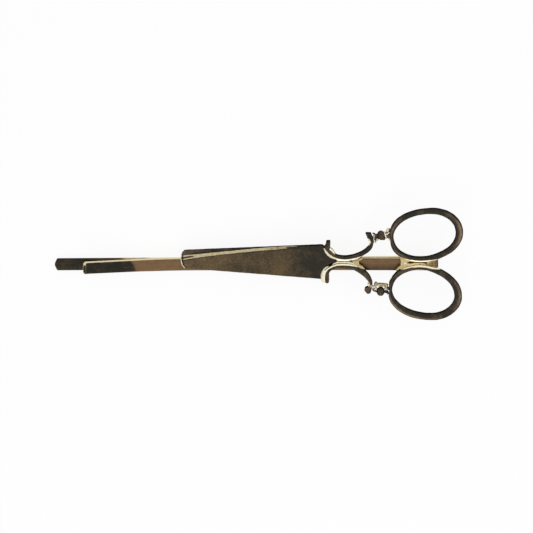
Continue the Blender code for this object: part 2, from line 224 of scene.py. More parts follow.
# Along the scroll, out from the axis, and the width of the shank's top there, as shares of its sizes
upper_scroll_shares = (
    (0.006, 0.690, 1.15), (0.008, 0.650, 1.42), (0.007, 0.600, 1.48), (0.002, 0.545, 1.58),
    (-0.008, 0.490, 1.68), (-0.004, 0.435, 1.45), (0.016, 0.380, 1.05), (0.050, 0.322, 1.00),
    (0.092, 0.274, 0.99), (0.179, 0.201, 0.88), (0.270, 0.165, 0.90), (0.394, 0.153, 0.95),
    (0.539, 0.183, 0.95), (0.680, 0.243, 1.09), (0.830, 0.347, 1.25), (0.945, 0.501, 1.32),
    (1.009, 0.680, 0.72), (1.003, 0.735, 0.78), (0.982, 0.780, 1.15), (0.950, 0.822, 1.74),
    (0.930, 0.890, 1.70), (0.902, 0.975, 1.72),
)
lower_scroll_shares = (
    (0.000, 0.690, 0.62), (-0.001, 0.672, 1.05), (-0.004, 0.640, 1.30), (-0.006, 0.583, 1.40),
    (-0.007, 0.466, 1.36), (-0.002, 0.367, 1.12), (0.020, 0.305, 0.98), (0.045, 0.262, 0.92),
    (0.109, 0.204, 0.85), (0.213, 0.146, 0.85), (0.300, 0.138, 0.95), (0.399, 0.142, 1.05),
    (0.547, 0.160, 1.15), (0.690, 0.228, 1.60), (0.841, 0.370, 1.70), (0.942, 0.542, 1.30),
    (0.988, 0.670, 0.80), (0.994, 0.715, 0.55), (0.988, 0.760, 0.50), (0.972, 0.815, 1.00),
    (0.941, 0.870, 1.95), (0.910, 0.920, 2.35), (0.874, 0.965, 1.60),
)
# Beside a shank's top, in millimetres, at places along its route: the bright line, a painted highlight, and
# the dark gap, painted shade, on the side of the axis, the bright ledge beyond them, and the bright ledge in
# the crook of the curl
no_shares = ((0.0, 0.0),)
upper_ledge_shares = (
    (0.17, 0.0), (0.20, 0.15), (0.25, 0.38), (0.30, 0.52), (0.35, 0.64), (0.40, 0.68), (0.43, 0.54),
    (0.45, 0.34), (0.50, 0.30), (0.57, 0.30), (0.62, 0.26), (0.66, 0.0),
)
upper_crook_shares = (
    (0.24, 0.0), (0.27, 0.20), (0.33, 0.34), (0.38, 0.30), (0.42, 0.0), (0.72, 0.0), (0.75, 0.34),
    (0.79, 0.46), (0.83, 0.46), (0.86, 0.0),
)
lower_line_shares = (
    (0.04, 0.0), (0.09, 0.2), (0.14, 0.36), (0.18, 0.42), (0.23, 0.40), (0.26, 0.22), (0.32, 0.18),
    (0.36, 0.19), (0.41, 0.22), (0.50, 0.24), (0.54, 0.24), (0.57, 0.08), (0.60, 0.0),
)
lower_gap_shares = (
    (0.24, 0.0), (0.26, 0.12), (0.33, 0.15), (0.38, 0.14), (0.41, 0.12), (0.50, 0.11), (0.54, 0.06),
    (0.60, 0.0),
)
lower_ledge_shares = (
    (0.04, 0.0), (0.09, 0.2), (0.14, 0.34), (0.18, 0.42), (0.23, 0.38), (0.30, 0.28), (0.335, 0.16),
    (0.35, 0.04), (0.37, 0.04), (0.39, 0.18), (0.41, 0.21), (0.54, 0.21), (0.59, 0.12), (0.62, 0.0),
)
lower_crook_shares = (
    (0.68, 0.0), (0.71, 0.1), (0.73, 0.3), (0.77, 0.48), (0.82, 0.48), (0.85, 0.3), (0.87, 0.0),
)
# How far the tone is rubbed off a shank's top, and how brown it is, along its route
lower_rubbed_shares = ((0.76, 0.0), (0.79, 0.7), (0.84, 0.7), (0.86, 0.0))
upper_brown_shares = ((0.0, 0.0), (0.22, 0.05), (0.30, 0.25), (0.40, 0.2), (0.46, 0.0))
lower_brown_shares = ((0.0, 0.15), (0.2, 0.15), (0.28, 0.1), (0.5, 0.12), (0.62, 0.12), (0.76, 0.1),
                      (0.88, 0.25), (1.0, 0.2))
# Round a ring from its far end, in degrees: how far its hole and its outside stray outwards from
# their two ovals, in millimetres
upper_ring_edge_shares = (
    (0.0, -0.02, -0.05), (24.0, 0.06, -0.03), (48.0, 0.08, -0.01), (66.0, 0.03, -0.05), (84.0, -0.05, -0.15),
    (102.0, -0.04, -0.09), (120.0, 0.02, 0.01), (132.0, 0.02, 0.05), (148.0, 0.02, -0.06),
    (164.0, 0.00, -0.18), (172.0, -0.04, -0.38), (180.0, -0.07, -0.38), (190.0, -0.08, -0.26),
    (200.0, -0.06, -0.14), (214.0, -0.01, -0.06), (228.0, -0.02, -0.03), (252.0, 0.0, 0.0),
    (276.0, -0.06, 0.0), (292.0, -0.09, -0.03), (312.0, 0.0, 0.03), (336.0, -0.01, 0.04),
    (360.0, -0.02, -0.05),
)
lower_ring_edge_shares = (
    (0.0, 0.0, 0.0), (24.0, -0.01, 0.01), (48.0, 0.03, 0.09), (60.0, 0.0, 0.10), (72.0, -0.05, 0.02),
    (84.0, -0.08, 0.03), (108.0, -0.03, 0.12), (126.0, 0.05, 0.16), (144.0, 0.10, 0.08),
    (156.0, 0.10, -0.10), (164.0, 0.08, -0.36), (172.0, 0.04, -0.38), (180.0, -0.02, -0.28),
    (190.0, -0.04, -0.14), (204.0, -0.02, -0.12), (216.0, 0.0, 0.0), (228.0, 0.03, 0.03),
    (240.0, 0.07, 0.10), (252.0, 0.16, 0.15), (264.0, 0.16, 0.15), (276.0, 0.06, 0.14), (288.0, 0.01, 0.10),
    (300.0, 0.0, 0.05), (324.0, -0.04, 0.04), (344.0, -0.05, -0.01), (360.0, 0.0, 0.0),
)
# Painted brown highlights on each ring, laid on as thinner tone: turn in degrees, its spread, out across the
# bar, and how much
upper_ring_brown_highlight_shares = ((-4.0, 36.0, 0.35, 1.1), (212.0, 26.0, 0.0, 0.55), (150.0, 22.0, 0.1, 0.65))
lower_ring_brown_highlight_shares = ((-8.0, 28.0, 0.4, 0.7), (140.0, 30.0, 0.5, 0.65), (92.0, 26.0, 0.6, 0.5),
                          (214.0, 20.0, 0.3, 0.35), (232.0, 16.0, -0.3, 0.4))
# Painted bright highlights on each ring, laid on as bare plating, in the same way
upper_ring_bright_highlight_shares = ((22.0, 10.0, 0.7, 0.3), (-12.0, 12.0, 0.5, 0.3))
lower_ring_bright_highlight_shares = ((-12.0, 12.0, 0.55, 0.42), (12.0, 10.0, 0.6, 0.3), (60.0, 10.0, 0.6, 0.25))
# How far out across the bar its tone reaches on the side of the axis, by turn in degrees
upper_ring_tone_shares = (
    (0.0, 1.5), (150.0, 1.5), (168.0, 0.9), (192.0, 0.9), (200.0, 1.3), (210.0, 0.9), (228.0, 0.55),
    (240.0, 0.34), (252.0, 0.24), (264.0, 0.24), (276.0, 0.46), (288.0, 0.8), (300.0, 0.75),
    (312.0, 1.5), (360.0, 1.5),
)
lower_ring_tone_shares = (
    (0.0, 1.5), (150.0, 1.2), (168.0, 1.2), (196.0, 0.9), (216.0, 1.3), (228.0, 0.54), (240.0, 0.43),
    (252.0, 0.16), (264.0, 0.24), (276.0, 0.36), (288.0, 1.2), (300.0, 1.2), (312.0, 1.5), (360.0, 1.5),
)
# Along the front leg: how far its two sides, towards -Y and +Y, stray outwards from a straight strip
# that lies in line with the back leg, in shares of half its width
front_side_shares = (
    (-42.0 * MM, -0.07, 0.11), (-33.0 * MM, -0.07, 0.14), (-30.0 * MM, -0.02, 0.17),
    (-24.0 * MM, -0.03, 0.17), (-6.0 * MM, -0.17, 0.17),
)


def linear(code):
    """A hex sRGB colour as linear RGB."""
    channels = [int(code[place:place + 2], 16) / 255 for place in (1, 3, 5)]
    return tuple(c / 12.92 if c <= 0.04045 else ((c + 0.055) / 1.055) ** 2.4 for c in channels)


class HairslideSizes(PropertyGroup):
    """Sizes that a maker would change."""

    strip_width: FloatProperty(
        name="Strip width", description="Width of the grip's flat strip",
        default=1.9 * MM, min=1.0 * MM, max=4.0 * MM, precision=5, unit="LENGTH")
    strip_thickness: FloatProperty(
        name="Strip thickness", description="Thickness of the grip's flat strip",
        default=0.55 * MM, min=0.2 * MM, max=1.0 * MM, precision=5, unit="LENGTH")
    casting_unevenness: FloatProperty(
        name="Casting unevenness", description="How far the cast faces stray from true",
        default=0.022 * MM, min=0.0, max=0.1 * MM, precision=6, unit="LENGTH")


class HairslideFinish(PropertyGroup):
    """Colours of the finish, which also paint the light, shade and reflections that the meshes ask for."""

    dark_tone: FloatVectorProperty(
        name="Dark tone", description="Oxidised brown of the flat tops", subtype="COLOR",
        min=0.0, max=1.0, default=linear("#32302a"))
    brown_tone: FloatVectorProperty(
        name="Brown tone", description="Thinner tone where hands rub the tops", subtype="COLOR",
        min=0.0, max=1.0, default=linear("#86705a"))
    pale_gold: FloatVectorProperty(
        name="Pale gold", description="Bright plating where the tone is rubbed away",
        subtype="COLOR", min=0.0, max=1.0, default=linear("#f4ead0"))
    dull_gold: FloatVectorProperty(
        name="Dull gold", description="Plating under a thin veil of tone", subtype="COLOR",
        min=0.0, max=1.0, default=linear("#a89a74"))
    solder_gold: FloatVectorProperty(
        name="Solder gold", description="Warm plating over the solder", subtype="COLOR",
        min=0.0, max=1.0, default=linear("#ecdcb0"))
    solder_dull: FloatVectorProperty(
        name="Solder dull", description="Solder under a thin veil of tone", subtype="COLOR",
        min=0.0, max=1.0, default=linear("#9a8654"))
    blade_brown: FloatVectorProperty(
        name="Blade brown", description="Warm tone of the hammered blade", subtype="COLOR",
        min=0.0, max=1.0, default=linear("#6e5a40"))
    strip_cream: FloatVectorProperty(
        name="Strip cream", description="Bright edge of the spring strip", subtype="COLOR",
        min=0.0, max=1.0, default=linear("#dccda8"))
    strip_brown: FloatVectorProperty(
        name="Strip brown", description="Lacquered face of the spring strip", subtype="COLOR",
        min=0.0, max=1.0, default=linear("#7a6045"))
    strip_dark: FloatVectorProperty(
        name="Strip dark", description="Darkened ends of the spring strip", subtype="COLOR",
        min=0.0, max=1.0, default=linear("#2a2a25"))


class HairslideStage(PropertyGroup):
    """Light on the stage."""

    room_light: FloatProperty(
        name="Room light", description="Even light from all round", default=0.85, min=0.0, max=2.0)
    key_power: FloatProperty(
        name="Key power", description="Power of each of the two soft boxes",
        default=0.05, min=0.0, max=10.0, unit="POWER")


def smooth_route(points, steps):
    """A smooth curve through all the points, as a list of vectors."""
    points = [Vector(point) for point in points]
    before = points[:1] + points[:-1]
    after = points[1:] + points[-1:]
    slopes = [(last - first) / 6 for first, last in zip(before, after)]
    curve = points[:1]
    for index in range(len(points) - 1):
        start = points[index]
        end = points[index + 1]
        handles = (start + slopes[index], end - slopes[index + 1])
        curve += interpolate_bezier(start, *handles, end, steps + 1)[1:]
    return curve


def read_table(rows, place):
    """Reads a table of (place, value) rows in rising order, straight between its rows."""
    if place <= rows[0][0]:
        return rows[0][1]
    for (first, low), (second, high) in zip(rows, rows[1:]):
        if place <= second:
            return low + (high - low) * (place - first) / (second - first)
    return rows[-1][1]


def step_up(low, high, value):
    """Goes smoothly from 0 to 1 as the value goes from low to high, or down if low is the greater."""
    share = min(max((value - low) / (high - low), 0.0), 1.0)
    return share * share * (3.0 - 2.0 * share)


def add_rises(stretches, value):
    """The sum of smooth rises, each given as its start, its end and its amount."""
    return sum(amount * step_up(start, end, value) for start, end, amount in stretches)


def new_mesh():
    """An empty bmesh that carries the two values that the finishes read."""
    mesh = bmesh.new()
    mesh.verts.layers.float.new("rubbed")
    mesh.verts.layers.float.new("brown")
    return mesh


def finish_layers(mesh):
    """The two values of a mesh: how far each point is rubbed bright or painted bright as light, and how
    brown it is, painted shade included.
    """
    layers = mesh.verts.layers.float
    return layers["rubbed"], layers["brown"]


def loft(rows, closed=False):
    """Skins rows of (point, rubbed, brown), with both ends filled unless the row closes on itself."""
    mesh = new_mesh()
    rubbed, brown = finish_layers(mesh)
    loops = []
    for row in rows:
        corners = []
        for point, bright, warm in row:
            corner = mesh.verts.new(point)
            corner[rubbed] = bright
            corner[brown] = warm
            corners.append(corner)
        sides = zip(corners, corners[1:] + corners[:1])
        loops.append([mesh.edges.new(side) for side in sides])
    following = loops[1:] + loops[:1] if closed else loops[1:]
    for loop, next_loop in zip(loops, following):
        bmesh.ops.bridge_loops(mesh, edges=loop + next_loop)
    if not closed:
        for loop in (loops[0], loops[-1]):
            bmesh.ops.contextual_create(mesh, geom=loop)
    return mesh


def set_side(mesh, side):
    """Mirrors a mesh across the scissors' axis where the side is -1, with its faces still outwards."""
    bmesh.ops.scale(mesh, vec=(1.0, side, 1.0), verts=mesh.verts)
    bmesh.ops.recalc_face_normals(mesh, faces=mesh.faces)


def round_rims(mesh, rims, radius):
    """Rounds the given edges in three steps."""
    bmesh.ops.bevel(mesh, geom=rims, offset=radius, offset_type="OFFSET", segments=3, profile=0.5,
                    affect="EDGES", material=-1, clamp_overlap=True)


def roughen(mesh, grain, depth):
    """Moves points in and out by smooth noise, as a casting strays from true."""
    mesh.normal_update()
    for corner in mesh.verts:
        corner.co += corner.normal * depth * noise.noise(corner.co / grain)


def finish_piece(name, mesh, material, nodes, matrix=None, body="front_leg", crease=35.0):
    """Makes a named object of a bmesh, in the frame's own place, on its body and for its nodes."""
    if matrix is not None:
        bmesh.ops.transform(mesh, matrix=matrix, verts=mesh.verts)
    bmesh.ops.recalc_face_normals(mesh, faces=mesh.faces)
    data = bpy.data.meshes.new(name)
    mesh.to_mesh(data)
    mesh.free()
    data.materials.append(material)
    data.shade_smooth()
    data.set_sharp_from_angle(angle=math.radians(crease))
    item = bpy.data.objects.new(name, data)
    bpy.context.scene.collection.objects.link(item)
    if body:
        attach(item, body)
    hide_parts(*nodes)
    return item


def leg_opening(thickness):
    """The angle between the legs that brings the front one down to the back one."""
    across = bend_inner_radius + thickness / 2 + flare_radius
    level = flare_radius - bend_inner_radius + touch_clearance + thickness / 2
    reach = math.hypot(across, front_leg_straight)
    return math.acos(level / reach) - math.atan2(front_leg_straight, across)


def hinge_x(thickness):
    """How far along the grip the axis of the bend lies, which is where the two legs start."""
    return bend_outside_x - bend_inner_radius - thickness


def hinge_frame():
    """Where the front leg hangs: on the axis of the bend, tipped by the opening."""
    thickness = bpy.context.scene.hairslide_sizes.strip_thickness
    place = Vector((hinge_x(thickness), 0.0, bend_inner_radius + thickness))
    return Matrix.Translation(place) @ Matrix.Rotation(-leg_opening(thickness), 4, "Y")


def scissors_frame():
    """Where the scissors' own frame lies."""
    thickness = bpy.context.scene.hairslide_sizes.strip_thickness
    opening = leg_opening(thickness)
    height = bend_inner_radius + thickness + solder_thickness + 2 * seat_clearance
    origin_x = (height * math.sin(opening) - hinge_x(thickness)) / math.cos(opening)
    place = Matrix.Translation((origin_x, scissors_offset, height))
    return hinge_frame() @ place @ Matrix.Rotation(scissors_turn, 4, "Z")


# Materials


def add_node(tree, kind, links=None, **settings):
    """Adds a node, sets its properties, and sets or links its inputs by name or number."""
    node = tree.nodes.new(kind)
    for name, value in settings.items():
        setattr(node, name, value)
    for name, value in (links or {}).items():
        if isinstance(value, bpy.types.NodeSocket):
            tree.links.new(value, node.inputs[name])
        else:
            node.inputs[name].default_value = value
    return node


def start_metal(name):
    """A metallic material, its tree and shader, and the place and the two values that it reads."""
    material = bpy.data.materials.new(name)
    material.use_nodes = True
    tree = material.node_tree
    shader = tree.nodes["Principled BSDF"]
    shader.inputs["Metallic"].default_value = 1.0
    place = add_node(tree, "ShaderNodeTexCoord").outputs["Object"]
    rubbed = add_node(tree, "ShaderNodeAttribute", attribute_name="rubbed").outputs["Fac"]
    brown = add_node(tree, "ShaderNodeAttribute", attribute_name="brown").outputs["Fac"]
    return material, tree, shader, place, rubbed, brown


def per_mm(size):
    """The scale of a pattern whose features are this many millimetres apart, on metre coordinates."""
    return 1.0 / (size * MM)


def toned_plating(name, dark, warm, bright, veil, hammered=0.0):
    """Pale gold plating over cast brass, toned dark brown and rubbed back on its edges.

    The eye gets near black flats with brown mottling, and clean bright metal where the mesh says that
    the tone is rubbed away or paints a highlight, and darker tone where it paints shade. Hammering adds fine
    dimples and golden specks.
    """
    material, tree, shader, place, rubbed, brown = start_metal(name)
    # Clouds of tone 1.8 mm across, and specks 0.28 mm across
    clouds = add_node(tree, "ShaderNodeTexNoise", {
        "Vector": place, "Scale": per_mm(1.8), "Detail": 4.0, "Roughness": 0.6}).outputs["Fac"]
    specks = add_node(tree, "ShaderNodeTexNoise", {
        "Vector": place, "Scale": per_mm(0.28), "Detail": 3.0, "Roughness": 0.65}).outputs["Fac"]
    cloud_sway = add_node(tree, "ShaderNodeMapRange", {
        "Value": clouds, "From Min": 0.32, "From Max": 0.68, "To Min": -0.16, "To Max": 0.2}).outputs[0]
    speck_sway = add_node(tree, "ShaderNodeMapRange", {
        "Value": specks, "From Min": 0.3, "From Max": 0.7, "To Min": -0.16, "To Max": 0.16}).outputs[0]
    sway = add_node(tree, "ShaderNodeMath", {0: cloud_sway, 1: speck_sway}, operation="ADD").outputs[0]
    warmth = add_node(tree, "ShaderNodeMath", {0: sway, 1: brown}, operation="ADD", use_clamp=True)
    tone = add_node(tree, "ShaderNodeMix", {
        "Factor": warmth.outputs[0], 6: (*dark, 1.0), 7: (*warm, 1.0)}, data_type="RGBA").outputs[2]
    if hammered:
        # Golden specks 0.2 mm across on the crests, thicker where the tone is thin
        crests = add_node(tree, "ShaderNodeTexNoise", {
            "Vector": place, "Scale": per_mm(0.2), "Detail": 2.0, "Roughness": 0.5}).outputs["Fac"]
        crests = add_node(tree, "ShaderNodeMapRange", {
            "Value": crests, "From Min": 0.54, "From Max": 0.74, "To Max": 0.55}).outputs[0]
        patchy = add_node(tree, "ShaderNodeMath", {0: crests, 1: warmth.outputs[0]}, operation="MULTIPLY")
        tone = add_node(tree, "ShaderNodeMix", {
            "Factor": patchy.outputs[0], 6: tone, 7: (*veil, 1.0)}, data_type="RGBA").outputs[2]
    # Rubbed metal starts where the mesh says, in a ragged line
    ragged = add_node(tree, "ShaderNodeMath", {0: speck_sway, 1: 0.8}, operation="MULTIPLY").outputs[0]
    reach = add_node(tree, "ShaderNodeMath", {0: rubbed, 1: ragged}, operation="ADD").outputs[0]
    mask = add_node(tree, "ShaderNodeMapRange", {
        "Value": reach, "From Min": 0.28, "From Max": 0.52}, interpolation_type="SMOOTHSTEP").outputs[0]
    veil_share = add_node(tree, "ShaderNodeMapRange", {
        "Value": reach, "From Min": 0.5, "From Max": 1.0}).outputs[0]
    metal = add_node(tree, "ShaderNodeMix", {
        "Factor": veil_share, 6: (*veil, 1.0), 7: (*bright, 1.0)}, data_type="RGBA").outputs[2]
    colour = add_node(tree, "ShaderNodeMix", {"Factor": mask, 6: tone, 7: metal}, data_type="RGBA")
    tree.links.new(colour.outputs[2], shader.inputs["Base Color"])
    # Tone is dull, and dark even where it is seen edge on
    edge_on = add_node(tree, "ShaderNodeMix", {
        "Factor": mask, 6: (0.12, 0.1, 0.08, 1.0), 7: (1.0, 1.0, 1.0, 1.0)}, data_type="RGBA")
    tree.links.new(edge_on.outputs[2], shader.inputs["Specular Tint"])
    rough = add_node(tree, "ShaderNodeMapRange", {"Value": mask, "To Min": 0.42, "To Max": 0.3}).outputs[0]
    dull = add_node(tree, "ShaderNodeMath", {0: speck_sway, 1: 0.3}, operation="MULTIPLY").outputs[0]
    total = add_node(tree, "ShaderNodeMath", {0: rough, 1: dull}, operation="ADD").outputs[0]
    tree.links.new(total, shader.inputs["Roughness"])
    depth = hammered or 0.012 * MM
    bump = add_node(tree, "ShaderNodeBump", {"Height": specks, "Strength": 0.7, "Distance": depth})
    tree.links.new(bump.outputs[0], shader.inputs["Normal"])
    return material


def lacquered_spring_steel(name, finish):
    """Rolled spring strip under gold-brown lacquer, dark at its tips and bright on its edges, as the mesh
    paints them.

    The eye gets a soft streaked brown along the strip, and a thin cream line on its bright edge; the dark
    front tip is a painted reflection, and the bright edges are partly painted light.
    """
    material, tree, shader, place, rubbed, brown = start_metal(name)
    # Rolling streaks 0.12 mm apart and 4 mm long, and clouds of lacquer 0.9 mm across
    stretched = add_node(tree, "ShaderNodeMapping", {"Vector": place, "Scale": (0.03, 1.0, 1.0)})
    streaks = add_node(tree, "ShaderNodeTexNoise", {
        "Vector": stretched.outputs[0], "Scale": per_mm(0.12), "Detail": 3.0}).outputs["Fac"]
    clouds = add_node(tree, "ShaderNodeTexNoise", {
        "Vector": place, "Scale": per_mm(0.9), "Detail": 4.0, "Roughness": 0.6}).outputs["Fac"]
    mixed = add_node(tree, "ShaderNodeMath", {0: streaks, 1: clouds}, operation="ADD").outputs[0]
    sway = add_node(tree, "ShaderNodeMapRange", {
        "Value": mixed, "From Min": 0.75, "From Max": 1.25, "To Min": -0.16, "To Max": 0.16}).outputs[0]
    warmth = add_node(tree, "ShaderNodeMath", {0: sway, 1: brown}, operation="ADD", use_clamp=True)
    tone = add_node(tree, "ShaderNodeMix", {
        "Factor": warmth.outputs[0], 6: (*finish.strip_dark, 1.0), 7: (*finish.strip_brown, 1.0)},
        data_type="RGBA").outputs[2]
    ragged = add_node(tree, "ShaderNodeMath", {0: rubbed, 1: sway}, operation="ADD").outputs[0]
    mask = add_node(tree, "ShaderNodeMapRange", {
        "Value": ragged, "From Min": 0.25, "From Max": 0.75}, interpolation_type="SMOOTHSTEP").outputs[0]
    colour = add_node(tree, "ShaderNodeMix", {
        "Factor": mask, 6: tone, 7: (*finish.strip_cream, 1.0)}, data_type="RGBA").outputs[2]
    tree.links.new(colour, shader.inputs["Base Color"])
    # Lacquer is dark even where it is seen edge on, and a little streaked in its gloss
    edge_on = add_node(tree, "ShaderNodeMix", {
        "Factor": mask, 6: (0.25, 0.2, 0.15, 1.0), 7: (1.0, 1.0, 1.0, 1.0)}, data_type="RGBA")
    tree.links.new(edge_on.outputs[2], shader.inputs["Specular Tint"])
    rough = add_node(tree, "ShaderNodeMapRange", {
        "Value": streaks, "From Min": 0.3, "From Max": 0.7, "To Min": 0.28, "To Max": 0.4}).outputs[0]
    tree.links.new(rough, shader.inputs["Roughness"])
    bump = add_node(tree, "ShaderNodeBump", {"Height": streaks, "Strength": 0.4, "Distance": 0.004 * MM})
    tree.links.new(bump.outputs[0], shader.inputs["Normal"])
    return material


def get_finish(name):
    """One of the object's finishes, made the first time that it is asked for."""
    if name in bpy.data.materials:
        return bpy.data.materials[name]
    finish = bpy.context.scene.hairslide_finish
    if name == "lacquered_strip":
        return lacquered_spring_steel(name, finish)
    tones = (finish.dark_tone, finish.brown_tone, finish.pale_gold, finish.dull_gold)
    if name == "hammered_toned_plating":
        return toned_plating(name, finish.dark_tone, finish.blade_brown, *tones[2:], hammered=0.025 * MM)
    if name == "rubbed_gold_solder":
        return toned_plating(name, *tones[:2], finish.solder_gold, finish.solder_dull)
    return toned_plating(name, *tones)


# The grip


def walk(x, z, heading, moves):
    """Stations (x, z, heading) along straights and arcs, each given as length, turn and steps."""
    stations = [(x, z, heading)]
    for length, turn, steps in moves:
        stride = length / steps
        half_turn = turn / steps / 2
        chord = stride * math.sin(half_turn) / half_turn if half_turn else stride
        for _ in range(steps):
            x += chord * math.cos(heading + half_turn)
            z += chord * math.sin(heading + half_turn)
            heading += half_turn * 2
            stations.append((x, z, heading))
    return stations


def strip_section(width, thickness, steps=6):
    """Points (across, up, edge) round the strip, where edge is 1 on its rounded sides."""
    left = strip_edge_radius - width / 2
    right = width / 2 - strip_edge_radius
    bottom = strip_edge_radius - thickness / 2
    top = thickness / 2 - strip_edge_radius
    corners = ((left, bottom, 1.0), (right, bottom, 1.5), (right, top, 0.0), (left, top, 0.5))
    points = []
    for across, up, start in corners:
        for step in range(steps):
            angle = math.pi * (start + 0.5 * step / (steps - 1))
            out = math.cos(angle)
            rise = math.sin(angle)
            edge = min(1.0, abs(out) * 1.8)
            points.append((across + strip_edge_radius * out, up + strip_edge_radius * rise, edge))
    # One more point on each flat, where the bare edge ends
    points.insert(3 * steps, (0.2 * width, thickness / 2, 0.0))
    points.insert(steps, (0.2 * width, -thickness / 2, 0.0))
    return points


def strip_rows(stations, widths, tone):
    """Rows for a strip along its stations, each with the share of its width towards -Y and +Y.

    The tone gives (rubbed, brown) from a point's x, its side, its height in the strip and its edge.
    """
    sizes = bpy.context.scene.hairslide_sizes
    section = strip_section(sizes.strip_width, sizes.strip_thickness)
    rows = []
    for (x, z, heading), (low, high) in zip(stations, widths):
        up = Vector((-math.sin(heading), 0.0, math.cos(heading)))
        row = []
        for across, rise, edge in section:
            point = Vector((x, across * (high if across > 0 else low), z)) + up * rise
            row.append((point, *tone(x, across, rise, edge)))
        rows.append(row)
    return rows


def rounded_end(half_width, radius, distance):
    """The share of a strip's half width that is left, at a distance from an end with a round corner."""
    short = max(0.0, radius - distance)
    return 1.0 - (radius - math.sqrt(radius * radius - short * short)) / half_width


def cap_rows(row, shares, keeps):
    """Rows that close a strip's end, each shrunk towards the middle of the last row.

    Each keeps a share of the brightness of the last row.
    """
    middle = sum((point for point, _, _ in row), Vector()) / len(row)
    return [[(middle + (point - middle) * share, rubbed * keep, 0.2) for point, rubbed, _ in row]
            for share, keep in zip(shares, keeps)]


class HAIRSLIDE_OT_grip(Operator):
    """Make the flat spring grip: the back leg, the bend and the front leg with its lipped tip."""

    bl_idname = "hairslide.grip"
    bl_label = "Grip"

    # Where the front leg ends, once its stations are known
    tip_x = 0.0

    def execute(self, context):
        sizes = context.scene.hairslide_sizes
        thickness = sizes.strip_thickness
        finish = get_finish("lacquered_strip")
        leg_start = hinge_x(thickness)
        middle = bend_inner_radius + thickness / 2
        opening = leg_opening(thickness)

        # The back leg runs from its pointed tip to the foot of the bend, with a row each millimetre
        reach = [(share * MM - back_leg_reach, width) for share, width in tip_width_shares]
        along = reach + [(-back_leg_reach + stop * MM, 1.0) for stop in range(1, 58)] + [(leg_start, 1.0)]
        stations = [(x, thickness / 2, 0.0) for x, _ in along]
        back = strip_rows(stations, [(width, width) for _, width in along], self.back_tone)
        finish_piece("grip_back_strip", loft(back), finish, ["grip_back_leg"],
                     body="back_leg")

        # The bend joins the two legs and flexes between them
        turn = math.pi + opening
        stations = walk(leg_start, thickness / 2, 0.0, ((middle * turn, turn, bend_steps),))
        _, low, high = front_side_shares[-1]
        widths = [(1.0 + low * index / bend_steps, 1.0 + high * index / bend_steps)
                  for index in range(bend_steps + 1)]
        bend = strip_rows(stations, widths, self.front_tone)
        item = finish_piece("grip_bend_strip", loft(bend), finish,
                            ["grip_front_leg"], body=None)
        foot = (leg_start, 0.0, thickness)
        head = (leg_start, 0.0, thickness + 2 * bend_inner_radius)
        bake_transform(item, "back_leg", "front_leg", start=foot, end=head)

        # The front leg comes down to the back leg, then flares to its lip
        flare_turn = opening + flare_angle
        flare_run = flare_radius * math.sin(flare_angle)
        lip_run = lip_radius * (math.sin(flare_angle + lip_angle) - math.sin(flare_angle))
        tail = (flare_reach - flare_run - lip_run) / math.cos(flare_angle)
        moves = (
            (front_leg_straight, 0.0, 72),
            (flare_radius * flare_turn, -flare_turn, 24),
            (tail, 0.0, 20),
            (lip_radius * lip_angle, -lip_angle, lip_steps),
        )
        x, z, heading = stations[-1]
        stations = walk(x, z, heading, moves)
        self.tip_x = stations[-1][0]
        half = sizes.strip_width / 2
        low_rows = [row[:2] for row in front_side_shares]
        high_rows = [row[::2] for row in front_side_shares]
        widths = []
        for index, (x, _, _) in enumerate(stations):
            far = (len(stations) - 1 - index) * lip_radius * lip_angle / lip_steps
            widths.append((rounded_end(half, heel_corner, far) + read_table(low_rows, x),
                           rounded_end(half, tip_corner, far) + read_table(high_rows, x)))
        front = strip_rows(stations, widths, self.front_tone)
        front += cap_rows(front[-1], (0.9, 0.8, 0.3), (1.0, 0.1, 0.0))
        finish_piece("grip_front_strip", loft(front), finish, ["grip_front_leg"])
        return {"FINISHED"}

    def back_tone(self, x, across, rise, edge):
        """Near black where it shows beyond the front leg, then brown with its edge towards +Y painted light,
        in the shaded gap under the front leg.
        """
        bare = add_rises(back_lit_edge_steps, x) * step_up(*strip_lit_edge, across)
        return bare, 0.06 + add_rises(back_brown_steps, x)

    def front_tone(self, x, across, rise, edge):
        """Brown on the face; near black from the tip to a slanted line as a painted dark reflection; painted
        shade under the rings; a bright far edge, partly a painted highlight.
        """
        # The near black of the tip is a painted dark reflection, ending on a slanted line
        line = dark_reflection_end_x - dark_reflection_slant * across
        dark_reflection = step_up(line + dark_reflection_blur, line - dark_reflection_blur, x)
        rim = step_up(*strip_bare_rim, x - self.tip_x) if self.tip_x else 0.0
        if rise > strip_underside:
            # The underside is painted light along its edge towards +Y, where it faces the shaded gap over
            # the back leg, and bare round the rim of the tip
            return max(0.9 * step_up(*strip_lit_edge, across), rim), 0.6
        # Painted shade: under the rings the far edge dims and the face darkens towards -Y, and the edge
        # towards -Y is darker. The far edge's brightness is partly a painted highlight
        rings = step_up(*under_rings, x)
        side = 1.0 - 0.75 * rings if across > 0 else 0.0
        shade = 0.6 * rings * step_up(*shaded_side, across) + (0.3 * edge if across < 0 else 0.0)
        return edge * side, (1.0 - dark_reflection) * (0.88 - shade) + 0.8 * rim * dark_reflection


# The blades


